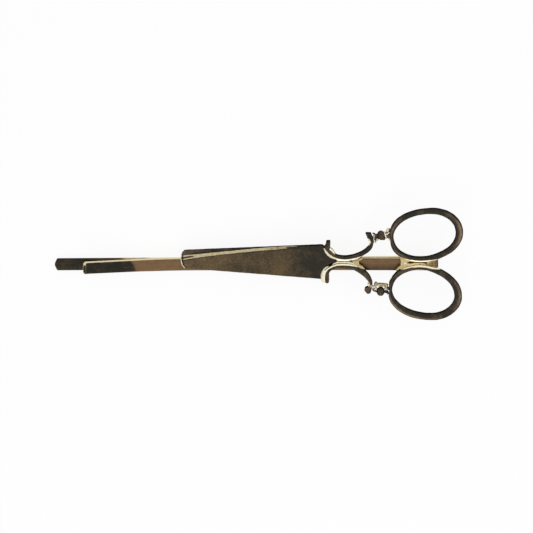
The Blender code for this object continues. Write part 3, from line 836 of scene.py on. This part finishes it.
def blade_lines(x):
    """The spine, the crest of the bevel and the cutting edge of a blade, across at a place along it."""
    half_tip = blade_tip_width / 2
    tip_x = blade_heel_x - blade_length
    rise = (blade_heel_width / 2 - half_tip) / blade_length
    tip_edge = half_tip * tip_shares[-1][1]
    climb = (half_tip + rise * (edge_meet_x - tip_x) - tip_edge) / (edge_meet_x - tip_x)
    spine = -half_tip - rise * (x - tip_x)
    edge = min(tip_edge + climb * (x - tip_x), -spine)
    bevel = edge_bevel + (edge_bevel_tip - edge_bevel) * math.exp((tip_x - x) / edge_bevel_run)
    bevel = bevel * (1.0 - edge_bevel_loss * step_up(edge_meet_x, edge_fade_x, x)) + rim_round
    return spine, edge - bevel, edge


def blade_across(x, place, slope):
    """How far across a blade a grid point lies, from its place over the face or up the bevel."""
    spine, crest, edge = blade_lines(x)
    return crest + (edge - crest) * slope if slope else spine + (crest - spine) * place


def blade_mesh(bottom, side):
    """One blade, from a grid laid between its tip, heel, spine and edge, with its rim and bevel."""
    tip_x = blade_heel_x - blade_length
    # The share of the grid's width that climbs the bevel
    bevel_share = 0.2
    tip_rows = [(out, along) for along, out in tip_shares]
    heel_rows = sorted((side * out, along) for out, along in heel_shares)
    mesh = new_mesh()
    rubbed, brown = finish_layers(mesh)
    bmesh.ops.create_grid(mesh, x_segments=260, y_segments=52, size=0.5)
    uneven = bpy.context.scene.hairslide_sizes.casting_unevenness
    for corner in mesh.verts:
        along = (corner.co.x + 0.5) ** 1.4
        slope = max(0.0, (corner.co.y + 0.5 - 1.0 + bevel_share) / bevel_share)
        place = (corner.co.y + 0.5) / (1.0 - bevel_share)
        out = blade_across(tip_x, place, slope) / (blade_tip_width / 2)
        start = tip_x + blade_length * read_table(tip_rows, out)
        out = blade_across(blade_heel_x, place, slope) / (blade_heel_width / 2)
        end = blade_heel_x + blade_vee_length * read_table(heel_rows, out)
        x = start + (end - start) * along
        spine, crest, edge = blade_lines(x)
        y = blade_across(x, place, slope)
        fade = step_up(edge_meet_x, edge_fade_x, x)
        near_tip = step_up(tip_x + edge_line_reach, tip_x + edge_line_reach * 0.7, x)
        inward = x - start
        z = blade_thickness - edge_bevel_depth * slope * (1.0 - edge_depth_loss * fade)
        z -= tip_fall * max(0.0, 1.0 - inward / tip_rim) ** 2
        wander = noise.noise(Vector((x, y, bottom)) / edge_wander_grain) * uneven
        corner.co = Vector((x, y + wander, z))
        if slope:
            # One clean band, but by the tip two bright lines with a dark line of painted shade between them
            between = math.exp(-((slope - 0.5) / 0.16) ** 2) * near_tip
            corner[rubbed] = 0.6 * (1.0 - between) * (1.0 - add_rises(bevel_dull_steps, x))
            corner[brown] = 0.1 - 0.2 * between
        else:
            # Painted shade darkens the tone under the bevel, most of all by the tip
            shade = math.exp(-((crest - y) / under_bevel_shade) ** 2) * (0.35 + 0.4 * near_tip)
            corner[rubbed] = 0.0
            corner[brown] = read_table(blade_tone_shares, (x - tip_x) / blade_length) - shade
        # A bright rim round the tip is a painted highlight, with a darker line just inside it
        line = math.exp(-((inward - tip_rim - tip_line) / (0.6 * tip_line)) ** 2)
        corner[rubbed] *= 1.0 - line
        corner[brown] -= 0.6 * line
        if inward < tip_rim:
            corner[rubbed] = 1.0
    skin = bmesh.ops.extrude_face_region(mesh, geom=mesh.faces[:])
    lowered = [part for part in skin["geom"] if isinstance(part, bmesh.types.BMVert)]
    for corner in lowered:
        # The wall is bare where the bright band runs out over it
        x, y, _ = corner.co
        bare = step_up(*bare_wall_start, x) * step_up(*bare_wall_end, x)
        corner.co.z = 0.0
        corner[rubbed] = 0.2 + 0.6 * bare * step_up(0.0, 0.3 * MM, y)
    mesh.normal_update()
    rims = [edge for edge in mesh.edges
            if len(edge.link_faces) == 2 and edge.calc_face_angle() > math.radians(40.0)]
    round_rims(mesh, rims, rim_round)
    return mesh


class HAIRSLIDE_OT_blades(Operator):
    """Make the two blades, one over the other, each with its cutting bevel, the front one with its hammered
    face.
    """

    bl_idname = "hairslide.blades"
    bl_label = "Blades"

    def execute(self, context):
        place = scissors_frame()
        uneven = context.scene.hairslide_sizes.casting_unevenness
        tip_x = blade_heel_x - blade_length
        blades = (
            ("back_blade_casting", "back_blade", -1.0, 0.0, "toned_cast_brass", "toned_brass"),
            ("front_blade_casting", "front_blade", 1.0, blade_thickness + seat_clearance,
             "hammered_toned_plating", "hammered_toned_brass"),
        )
        for name, node, side, bottom, finish, slot in blades:
            mesh = blade_mesh(bottom, side)
            rubbed, brown = finish_layers(mesh)
            set_side(mesh, side)
            bmesh.ops.translate(mesh, vec=(0.0, 0.0, bottom), verts=mesh.verts)
            mesh.normal_update()
            for corner in mesh.verts:
                steep = 1.0 - step_up(0.2, 0.8, abs(corner.normal.z))
                tip = step_up(*rubbed_tip, corner.co.x - tip_x)
                if node == "front_blade":
                    corner[rubbed] = max(corner[rubbed], steep * (0.25 + 0.5 * tip))
                else:
                    corner[rubbed] = 0.0
                    corner[brown] = 0.12 + 0.3 * tip
            roughen(mesh, blade_grain, uneven * 0.6)
            finish_piece(name, mesh, get_finish(finish), [node], place, crease=50.0)
        return {"FINISHED"}


# The scroll shanks


def shank_mesh(square_end, shares, line_shares, gap_shares, ledge_shares, crook_shares, rubbed_shares,
               brown_shares):
    """A shank swept along its scroll: a dark crowned top between two bright ledges.

    One ledge is on the side of the axis, behind a bright line of painted highlight and a dark gap of painted
    shade, and the other is in the crook of the curl. A square end is cut straight across the object.
    """
    scale = (scroll_span, scroll_rise, shank_top_width)
    route = smooth_route([[size * share for size, share in zip(scale, row)] for row in shares], 12)
    rows = []
    soft = shank_edge_round
    top = shank_height
    low = shank_height - ledge_drop
    for index, station in enumerate(route):
        before = route[max(index - 1, 0)]
        after = route[min(index + 1, len(route) - 1)]
        share = index / (len(route) - 1)
        inward = Vector((after.y - before.y, before.x - after.x, 0.0)).normalized()
        inward = inward.lerp(Vector((1.0, 0.0, 0.0)), square_end * step_up(0.80, 0.88, share))
        half = station.z / 2
        line = read_table(line_shares, share) * MM
        gap = read_table(gap_shares, share) * MM
        ledge = read_table(ledge_shares, share) * MM
        crook = read_table(crook_shares, share) * MM
        bare = read_table(rubbed_shares, share)
        tone = read_table(brown_shares, share)
        lit = step_up(0.0, ledge_fade, line)
        step = step_up(0.0, ledge_fade, ledge)
        hook = step_up(0.0, ledge_fade, crook)
        shut = 1.0 if gap < gap_least else 0.0
        side_low = low * step + (top - soft) * (1.0 - step)
        crook_low = low * hook + (top - soft) * (1.0 - hook)
        crook_edge = crook_low - ledge_fall * hook
        foot = half + line + gap
        # Points from the crook's side over the top to the axis's side: across, up, how rubbed, how brown
        section = (
            (-half - crook, 0.0, 0.1, 0.1),
            (-half - crook, crook_edge * 0.6, 0.7 * hook, 0.1),
            (-half - crook * 0.94, crook_edge, hook, 0.1),
            (-half - crook * 0.5, crook_low, hook, 0.1),
            (-half - crook * 0.16, crook_low + ledge_rim * hook, 0.3 * hook, 0.1),
            (-half, top - soft, bare, tone),
            (-half + soft * 0.3, top - soft * 0.3, bare, tone + 0.1),
            (-half + soft, top, bare, tone + 0.1),
            (-half * 0.3, top + shank_crown, bare, tone),
            (half * 0.3, top + shank_crown, bare, tone - 0.05),
            (half - soft, top, bare, tone),
            (half - soft * 0.3, top - soft * 0.3, bare, 0.0),
            # The bright line down the side of the top is a painted highlight
            (half, top - soft, lit, 0.0),
            (half + line * 0.5, side_low * 0.4 + (top - soft) * 0.6, lit, 0.0),
            (half + line, side_low + ledge_rim * step, lit, 0.0),
            # The open dark gap is painted shade: no bright metal, and its tone darkened
            (half + line + gap * 0.3, side_low, lit * shut, -0.3),
            (half + line + gap * 0.8, side_low, step * shut, -0.3),
            (foot + ledge * 0.12, side_low + ledge_rim / 2 * step, 0.84 * step, 0.1),
            (foot + ledge * 0.6, side_low - ledge_fall * step * 0.4, 0.84 * step, 0.1),
            (foot + ledge, side_low - ledge_fall * step, 0.84 * step, 0.1),
            (foot + ledge, side_low * 0.4, 0.7 * step, 0.1),
            (foot + ledge, 0.0, 0.2, 0.1),
        )
        middle = Vector((scroll_left_x + station.x, station.y, 0.0))
        rows.append([
            (middle + inward * across + Vector((0.0, 0.0, up)), shine, warm)
            for across, up, shine, warm in section])
    return loft(rows)


class HAIRSLIDE_OT_shanks(Operator):
    """Make the two scrolled shanks, each with its ear, its scroll and its block or knob."""

    bl_idname = "hairslide.shanks"
    bl_label = "Scroll shanks"

    def execute(self, context):
        place = scissors_frame()
        uneven = context.scene.hairslide_sizes.casting_unevenness
        shanks = (
            ("upper_scroll_casting", "upper_scroll_shank", 1.0, 1.0, upper_scroll_shares,
             no_shares, no_shares, upper_ledge_shares, upper_crook_shares, no_shares,
             upper_brown_shares),
            ("lower_scroll_casting", "lower_scroll_shank", -1.0, 0.0, lower_scroll_shares,
             lower_line_shares, lower_gap_shares, lower_ledge_shares, lower_crook_shares,
             lower_rubbed_shares, lower_brown_shares),
        )
        for name, node, side, *shape in shanks:
            mesh = shank_mesh(*shape)
            # The rims go round the two end faces, the only ones with more than four corners
            rims = [edge for edge in mesh.edges
                    if len(edge.link_faces) == 2 and max(len(face.verts) for face in edge.link_faces) > 4]
            round_rims(mesh, rims, shank_edge_round)
            set_side(mesh, side)
            roughen(mesh, shank_grain, uneven)
            finish_piece(name, mesh, get_finish("toned_cast_brass"), [node], place,
                         crease=55.0)
        return {"FINISHED"}


# The finger rings


def ellipse_point(centre_x, centre_y, length, width, tilt, angle):
    """A point on a tilted ellipse, at an angle of its own parameter."""
    along = length / 2 * math.cos(angle)
    across = width / 2 * math.sin(angle)
    x = centre_x + along * math.cos(tilt) - across * math.sin(tilt)
    y = centre_y + along * math.sin(tilt) + across * math.cos(tilt)
    return Vector((x, y, 0.0))


def patches(shares, turned, out):
    """The sum of a ring's soft patches at one point of its bar."""
    total = 0.0
    for centre, spread, across, amount in shares:
        away = (turned - centre + 180.0) % 360.0 - 180.0
        total += amount * math.exp(-(away / spread) ** 2 - ((out - across) / ring_patch_width) ** 2)
    return total


def ring_mesh(edge_shares, brown_highlight_shares, bright_highlight_shares, tone_shares):
    """A finger ring: a squarish crowned bar between its oval hole and its outside."""
    hole_rows = [row[:2] for row in edge_shares]
    outside_rows = [row[::2] for row in edge_shares]
    rows = []
    for step in range(ring_turns):
        angle = 2 * math.pi * step / ring_turns
        turned = math.degrees(angle)
        inner = ellipse_point(hole_x, hole_y, hole_length, hole_width, hole_tilt, angle)
        outer = ellipse_point(outside_x, outside_y, outside_length, outside_width, outside_tilt, angle)
        outward = (outer - inner).normalized()
        inner += outward * read_table(hole_rows, turned) * MM
        outer += outward * read_table(outside_rows, turned) * MM
        middle = (outer + inner) / 2
        half = (outer - inner).length / 2
        tone_end = read_table(tone_shares, turned)
        row = []
        for turn in range(ring_round_steps):
            lap = 2 * math.pi * turn / ring_round_steps
            out = math.copysign(abs(math.cos(lap)) ** ring_squareness, math.cos(lap))
            lift = math.copysign(abs(math.sin(lap)) ** ring_squareness, math.sin(lap))
            crown = ring_crown * (1.0 - out * out) if lift > 0 else 0.0
            up = ring_height * (1.0 + lift) / 2 + crown
            # The brown and bright patches are painted highlights; past its tone's end the bar is bare
            warm = patches(brown_highlight_shares, turned, out) - 0.03
            bright = max(step_up(tone_end - 0.06, tone_end + 0.1, out), patches(bright_highlight_shares, turned, out))
            row.append((middle + outward * half * out + Vector((0.0, 0.0, up)), bright, warm))
        rows.append(row)
    return loft(rows, closed=True)


class HAIRSLIDE_OT_rings(Operator):
    """Make the two oval finger rings, each toned on its top, bare where it is worn, and with painted
    highlights.
    """

    bl_idname = "hairslide.rings"
    bl_label = "Finger rings"

    def execute(self, context):
        place = scissors_frame()
        uneven = context.scene.hairslide_sizes.casting_unevenness
        rings = (
            ("upper_ring_casting", "upper_finger_ring", 1.0, upper_ring_edge_shares,
             upper_ring_brown_highlight_shares, upper_ring_bright_highlight_shares, upper_ring_tone_shares),
            ("lower_ring_casting", "lower_finger_ring", -1.0, lower_ring_edge_shares,
             lower_ring_brown_highlight_shares, lower_ring_bright_highlight_shares, lower_ring_tone_shares),
        )
        for name, node, side, *shape in rings:
            mesh = ring_mesh(*shape)
            set_side(mesh, side)
            roughen(mesh, ring_grain, uneven)
            finish_piece(name, mesh, get_finish("toned_cast_brass"), [node], place,
                         crease=60.0)
        return {"FINISHED"}


# The ball links and the solder are soft forms, melted together from simpler ones


def melt(name, mesh, grain, rounds):
    """Joins the islands of a mesh into one soft skin, by remeshing and smoothing it."""
    bmesh.ops.recalc_face_normals(mesh, faces=mesh.faces)
    data = bpy.data.meshes.new(name)
    mesh.to_mesh(data)
    mesh.free()
    item = bpy.data.objects.new(name, data)
    bpy.context.scene.collection.objects.link(item)
    skin = item.modifiers.new("skin", "REMESH")
    skin.mode = "VOXEL"
    skin.voxel_size = grain
    soften = item.modifiers.new("soften", "SMOOTH")
    soften.factor = 0.5
    soften.iterations = rounds
    seen = item.evaluated_get(bpy.context.evaluated_depsgraph_get())
    melted = new_mesh()
    melted.from_mesh(seen.to_mesh())
    seen.to_mesh_clear()
    bpy.data.objects.remove(item, do_unlink=True)
    bpy.data.meshes.remove(data)
    return melted


def add_lump(mesh, centre, size, turn, base=None):
    """Adds a ball, stretched to a size in millimetres and turned in plan, and gives the way back to it."""
    place = (base or Matrix()) @ Matrix.Translation([value * MM for value in centre])
    shape = Matrix.Diagonal((*[value * MM / 2 for value in size], 1.0))
    matrix = place @ Matrix.Rotation(math.radians(turn), 4, "Z") @ shape
    bmesh.ops.create_icosphere(mesh, subdivisions=3, radius=1.0, matrix=matrix)
    return matrix.inverted()


class HAIRSLIDE_OT_ball_links(Operator):
    """Make the two ball links with their collars and the flash that the casting left on them."""

    bl_idname = "hairslide.ball_links"
    bl_label = "Ball links"

    # Each lump: centre, size in millimetres, turn in plan, how bright, and how brown; the brightness paints
    # highlights as well as bare metal
    upper_lumps = (
        ((5.50, 4.52, 0.62), (1.26, 1.56, 1.36), 12.0, 0.0, 0.12),
        ((5.90, 4.04, 0.62), (0.60, 0.59, 1.00), 0.0, 0.0, 0.1),
        ((5.56, 4.39, 0.50), (2.20, 0.43, 0.50), 0.0, 0.35, 0.1),
        ((4.35, 4.80, 0.62), (0.48, 0.25, 0.50), -12.0, 0.0, 0.1),
        ((4.66, 4.08, 0.60), (0.34, 1.00, 0.80), -8.0, 0.2, 0.3),
        ((4.72, 4.45, 0.56), (0.45, 0.60, 0.76), 0.0, 0.34, 0.3),
        ((4.36, 4.08, 0.50), (0.30, 1.35, 0.80), -6.0, 0.9, 0.1),
        ((4.87, 3.86, 0.44), (0.55, 0.60, 0.60), 0.0, 0.62, 0.8),
        ((4.66, 3.46, 0.36), (0.32, 0.62, 0.50), -14.0, 0.7, 0.4),
        ((6.18, 4.62, 0.66), (0.36, 1.40, 0.96), 20.0, 1.0, 0.1),
        ((6.76, 4.42, 0.58), (0.70, 0.82, 0.88), -30.0, 0.0, 0.3),
        ((6.55, 5.30, 0.46), (0.62, 0.86, 0.70), -24.0, 0.74, 0.3),
        ((6.42, 5.01, 0.42), (0.44, 0.53, 0.60), 0.0, 0.85, 0.2),
        ((6.42, 5.06, 0.60), (0.27, 0.28, 0.46), 0.0, 0.1, 0.1),
        ((6.88, 3.80, 0.40), (0.36, 0.66, 0.60), 10.0, 0.9, 0.1),
    )
    lower_lumps = (
        ((5.56, 4.65, 0.62), (1.32, 1.48, 1.36), 0.0, 0.0, 0.08),
        ((5.86, 4.54, 0.62), (0.57, 0.89, 1.20), 0.0, 0.0, 0.1),
        ((5.26, 4.52, 0.62), (0.53, 0.89, 1.20), 0.0, 0.0, 0.2),
        ((5.67, 4.70, 0.54), (2.20, 0.39, 0.46), 0.0, 0.1, 0.1),
        ((5.64, 3.52, 0.44), (2.30, 0.43, 0.66), 2.0, 0.50, 0.9),
        ((5.58, 3.80, 0.40), (1.50, 0.28, 0.50), 3.0, 0.80, 0.3),
        ((4.76, 3.52, 0.44), (0.52, 0.85, 0.74), 10.0, 0.50, 0.8),
        ((6.47, 3.70, 0.42), (0.46, 0.75, 0.74), -10.0, 0.62, 0.9),
        ((4.32, 4.00, 0.50), (0.48, 0.70, 0.90), -10.0, 1.0, 0.1),
        ((4.82, 4.24, 0.50), (0.46, 0.62, 0.90), 0.0, 1.0, 0.1),
        ((4.40, 4.26, 0.72), (0.28, 0.38, 0.70), 30.0, 0.0, 0.1),
        ((4.64, 4.64, 0.56), (0.92, 0.20, 0.50), 22.0, 0.1, 0.25),
        ((6.29, 4.14, 0.60), (0.32, 0.66, 0.90), -24.0, 1.0, 0.1),
        ((6.78, 4.17, 0.54), (0.50, 0.55, 0.80), 0.0, 0.1, 0.2),
        ((6.46, 4.70, 0.58), (0.74, 0.48, 0.80), 0.0, 0.0, 0.1),
        ((6.70, 4.95, 0.50), (0.30, 0.50, 0.60), 0.0, 0.0, 0.1),
    )

    def execute(self, context):
        place = scissors_frame()
        uneven = context.scene.hairslide_sizes.casting_unevenness
        links = (
            ("upper_ball_casting", "upper_ball_link", 1.0, self.upper_lumps),
            ("lower_ball_casting", "lower_ball_link", -1.0, self.lower_lumps),
        )
        for name, node, side, lumps in links:
            mesh = new_mesh()
            forms = [(add_lump(mesh, *lump[:3]), min(lump[1]), *lump[3:]) for lump in lumps]
            melted = melt(name + "_core", mesh, grain=0.03 * MM, rounds=2)
            rubbed, brown = finish_layers(melted)
            for corner in melted.verts:
                # Each point takes the finish of the lump whose skin it is on
                _, _, shine, warm = min(
                    forms, key=lambda form: abs((form[0] @ corner.co).length - 1.0) * form[1])
                corner[rubbed] = shine
                corner[brown] = warm
            set_side(melted, side)
            roughen(melted, ball_grain, uneven * 0.7)
            finish_piece(name, melted, get_finish("toned_cast_brass"), [node], place,
                         crease=80.0)
        return {"FINISHED"}


def node_copy(node):
    """A merged copy of a CAD node's mesh, with the two finish values."""
    mesh = new_mesh()
    mesh.from_mesh(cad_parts[node].data)
    bmesh.ops.remove_doubles(mesh, verts=mesh.verts, dist=0.0005 * MM)
    return mesh


class HAIRSLIDE_OT_solder(Operator):
    """Make the solder: the fillets at the waist and between the rings, and the beds on the grip."""

    bl_idname = "hairslide.solder"
    bl_label = "Solder"

    # How bright and how brown the solder is
    plain_tone = (0.66, 0.4)

    # Zones of painted light, of painted shade in the slits, and of tone on the solder between the rings,
    # each with its middle and half sizes in millimetres, how bright and how brown
    ring_fillet_light_shade_and_tone_zones = (
        (11.3, 0.46, 1.9, 0.09, 0.9, 0.2),
        (11.2, -0.12, 2.0, 0.13, 0.75, 0.1),
        (11.3, -0.08, 1.5, 0.12, 0.9, 0.1),
        (10.15, 0.14, 0.46, 0.11, -0.3, -0.3),
        (11.5, 0.15, 0.42, 0.05, -0.3, -0.1),
        (12.3, 0.14, 0.22, 0.10, -0.3, -0.3),
        (9.35, 0.02, 0.22, 0.16, 1.0, 0.1),
        (13.75, 0.15, 0.7, 0.5, 0.42, 0.45),
        (12.9, 0.0, 0.5, 0.06, 0.0, 0.6),
        (13.4, -0.28, 1.0, 0.11, 0.1, 0.6),
        (14.3, 0.1, 0.3, 0.7, 0.1, 0.6),
    )

    # Wings where the solder ran out along the shanks and the rings, beyond the solid's own shape:
    # each with its centre and size in millimetres, and its turn
    wings = {
        "waist_fillet": (
            ((2.45, -0.74, 0.45), (1.30, 0.36, 0.60), -34.0),
            ((2.30, 0.52, 0.45), (0.80, 0.30, 0.60), 30.0),
        ),
        "ring_fillet": (
            ((8.35, -0.84, 0.45), (1.20, 0.36, 0.60), 36.0),
        ),
    }

    def execute(self, context):
        # Each piece: its name, its node, its grain in millimetres, how often it is smoothed, how far it
        # spreads in millimetres, and the share of its width that it keeps
        solders = (
            ("waist_solder", "waist_fillet", 0.03, 6, 0.075, 1.0),
            ("ring_fillet_solder", "ring_fillet", 0.04, 6, 0.075, 1.0),
            ("blade_solder_bed", "blade_solder", 0.05, 3, 0.05, 0.84),
            ("ring_solder_bed", "ring_solder", 0.05, 3, 0.05, 0.84),
        )
        place = scissors_frame()
        inverse = place.inverted()
        for name, node, grain, rounds, spread, narrowed in solders:
            core = node_copy(node)
            for centre, size, turn in self.wings.get(node, ()):
                add_lump(core, centre, size, turn, place)
            melted = melt(name + "_core", core, grain * MM, rounds)
            rubbed, brown = finish_layers(melted)
            melted.normal_update()
            for corner in melted.verts:
                corner.co += corner.normal * spread * MM
                corner.co.y *= narrowed
                corner[rubbed], corner[brown] = self.plain_tone
                if node == "ring_fillet":
                    # The slit is narrow and lies nearer the upper ring
                    local = inverse @ corner.co
                    away = local.y / MM - slit_y
                    local.y += slit_shift * MM * math.exp(-(away / slit_spread) ** 2)
                    corner.co = place @ local
                    corner[rubbed], corner[brown] = self.zone_light_and_tone(local.x / MM, local.y / MM)
            roughen(melted, solder_grain, 0.03 * MM)
            finish_piece(name, melted, get_finish("rubbed_gold_solder"), [node],
                         crease=80.0)
        return {"FINISHED"}

    def zone_light_and_tone(self, x, y):
        """How bright and how brown the solder between the rings is, painted light and shade included, at a
        place in millimetres.
        """
        shine = 0.7
        warm = 0.4
        for middle_x, middle_y, long, wide, light, heat in self.ring_fillet_light_shade_and_tone_zones:
            far = ((x - middle_x) / long) ** 2 + ((y - middle_y) / wide) ** 2
            weight = math.exp(-far * far)
            shine += (light - shine) * weight
            warm += (heat - warm) * weight
        return shine, warm


# The stage


def look_matrix(distance):
    """The camera's place and turn: it looks down, tipped towards +Y, with +Y up in the picture."""
    right = Vector((1.0, 0.0, 0.0))
    up = Vector((0.0, math.cos(view_tilt), -math.sin(view_tilt)))
    back = Vector((0.0, math.sin(view_tilt), math.cos(view_tilt)))
    turned_right = right * math.cos(view_roll) - up * math.sin(view_roll)
    turned_up = right * math.sin(view_roll) + up * math.cos(view_roll)
    spot = turned_right * view_shift_x * pixel_size + turned_up * view_shift_y * pixel_size
    place = spot + back * distance
    columns = zip((*turned_right, 0.0), (*turned_up, 0.0), (*back, 0.0), (*place, 1.0))
    return Matrix([list(row) for row in columns])


def seen_by_eye(tree):
    """1 for rays from the camera, in a reflection or through glass, and 0 for the light on the object."""
    path = add_node(tree, "ShaderNodeLightPath").outputs
    seen = add_node(tree, "ShaderNodeMath", {
        0: path["Is Camera Ray"], 1: path["Is Glossy Ray"]}, operation="MAXIMUM").outputs[0]
    seen = add_node(tree, "ShaderNodeMath", {0: seen, 1: path["Is Transmission Ray"]}, operation="MAXIMUM")
    return seen.outputs[0]


def white_world():
    """White all round for the camera and for reflections, and an even room light for the rest."""
    world = bpy.data.worlds.new("white_room")
    world.use_nodes = True
    tree = world.node_tree
    background = tree.nodes["Background"]
    light = bpy.context.scene.hairslide_stage.room_light
    level = add_node(tree, "ShaderNodeMapRange", {
        "Value": seen_by_eye(tree), "To Min": light, "To Max": 1.0})
    tree.links.new(level.outputs[0], background.inputs["Strength"])
    background.inputs["Color"].default_value = (1.0, 1.0, 1.0, 1.0)
    bpy.context.scene.world = world


def white_table():
    """A matt white board that stays white to the camera and keeps the object's soft shadow."""
    material = bpy.data.materials.new("matt_white_board")
    material.use_nodes = True
    tree = material.node_tree
    shader = tree.nodes["Principled BSDF"]
    shader.inputs["Base Color"].default_value = (*linear("#f4f4f4"), 1.0)
    shader.inputs["Roughness"].default_value = 0.9
    glow = add_node(tree, "ShaderNodeEmission", {"Color": (1.0, 1.0, 1.0, 1.0), "Strength": 1.0})
    share = add_node(tree, "ShaderNodeMath", {0: seen_by_eye(tree), 1: 0.9}, operation="MULTIPLY").outputs[0]
    mixed = add_node(tree, "ShaderNodeMixShader", {0: share, 1: shader.outputs[0], 2: glow.outputs[0]})
    tree.links.new(mixed.outputs[0], tree.nodes["Material Output"].inputs["Surface"])
    return material


class HAIRSLIDE_OT_stage(Operator):
    """Set the white table, the soft light and the camera at the photograph's angle."""

    bl_idname = "hairslide.stage"
    bl_label = "Stage"

    def execute(self, context):
        scene = context.scene
        mesh = bmesh.new()
        bmesh.ops.create_grid(mesh, x_segments=1, y_segments=1, size=board_reach,
                              matrix=Matrix.Translation((0.0, 0.0, -board_drop)))
        data = bpy.data.meshes.new("white_table")
        mesh.to_mesh(data)
        mesh.free()
        data.materials.append(white_table())
        table = bpy.data.objects.new("white_table", data)
        scene.collection.objects.link(table)

        white_world()
        for name, spot in soft_boxes:
            lamp = bpy.data.lights.new(name, "AREA")
            lamp.shape = "SQUARE"
            lamp.size = soft_box_size
            lamp.energy = scene.hairslide_stage.key_power
            item = bpy.data.objects.new(name, lamp)
            item.location = spot
            item.rotation_euler = (-Vector(spot)).to_track_quat("-Z", "Y").to_euler()
            scene.collection.objects.link(item)

        camera = bpy.data.cameras.new("camera")
        camera.lens = lens_length
        camera.sensor_width = sensor_width
        camera.clip_start = 0.01
        distance = picture_width * pixel_size * lens_length / sensor_width
        item = bpy.data.objects.new("camera", camera)
        item.matrix_world = look_matrix(distance)
        scene.collection.objects.link(item)
        scene.camera = item
        scene.view_settings.view_transform = "Standard"
        return {"FINISHED"}


class HAIRSLIDE_PT_panel(Panel):
    """Lists the pieces in the order that they are made."""

    bl_label = "Hair slide"
    bl_space_type = "VIEW_3D"
    bl_region_type = "UI"
    bl_category = "Hair slide"

    def draw(self, context):
        layout = self.layout
        for group in (context.scene.hairslide_sizes, context.scene.hairslide_finish,
                      context.scene.hairslide_stage):
            box = layout.box()
            for name in group.__annotations__:
                box.prop(group, name)
        for maker in makers:
            layout.operator(maker.bl_idname)


makers = (
    HAIRSLIDE_OT_grip,
    HAIRSLIDE_OT_blades,
    HAIRSLIDE_OT_shanks,
    HAIRSLIDE_OT_ball_links,
    HAIRSLIDE_OT_rings,
    HAIRSLIDE_OT_solder,
    HAIRSLIDE_OT_stage,
)
groups = (
    ("hairslide_sizes", HairslideSizes),
    ("hairslide_finish", HairslideFinish),
    ("hairslide_stage", HairslideStage),
)


def register():
    for name, group in groups:
        bpy.utils.register_class(group)
        setattr(bpy.types.Scene, name, PointerProperty(type=group))
    for maker in makers:
        bpy.utils.register_class(maker)
    bpy.utils.register_class(HAIRSLIDE_PT_panel)


def unregister():
    bpy.utils.unregister_class(HAIRSLIDE_PT_panel)
    for maker in reversed(makers):
        bpy.utils.unregister_class(maker)
    for name, group in reversed(groups):
        delattr(bpy.types.Scene, name)
        bpy.utils.unregister_class(group)


def main():
    register()
    bpy.ops.hairslide.grip()
    bpy.ops.hairslide.blades()
    bpy.ops.hairslide.shanks()
    bpy.ops.hairslide.ball_links()
    bpy.ops.hairslide.rings()
    bpy.ops.hairslide.solder()
    bpy.ops.hairslide.stage()


if __name__ == "__main__":
    main()
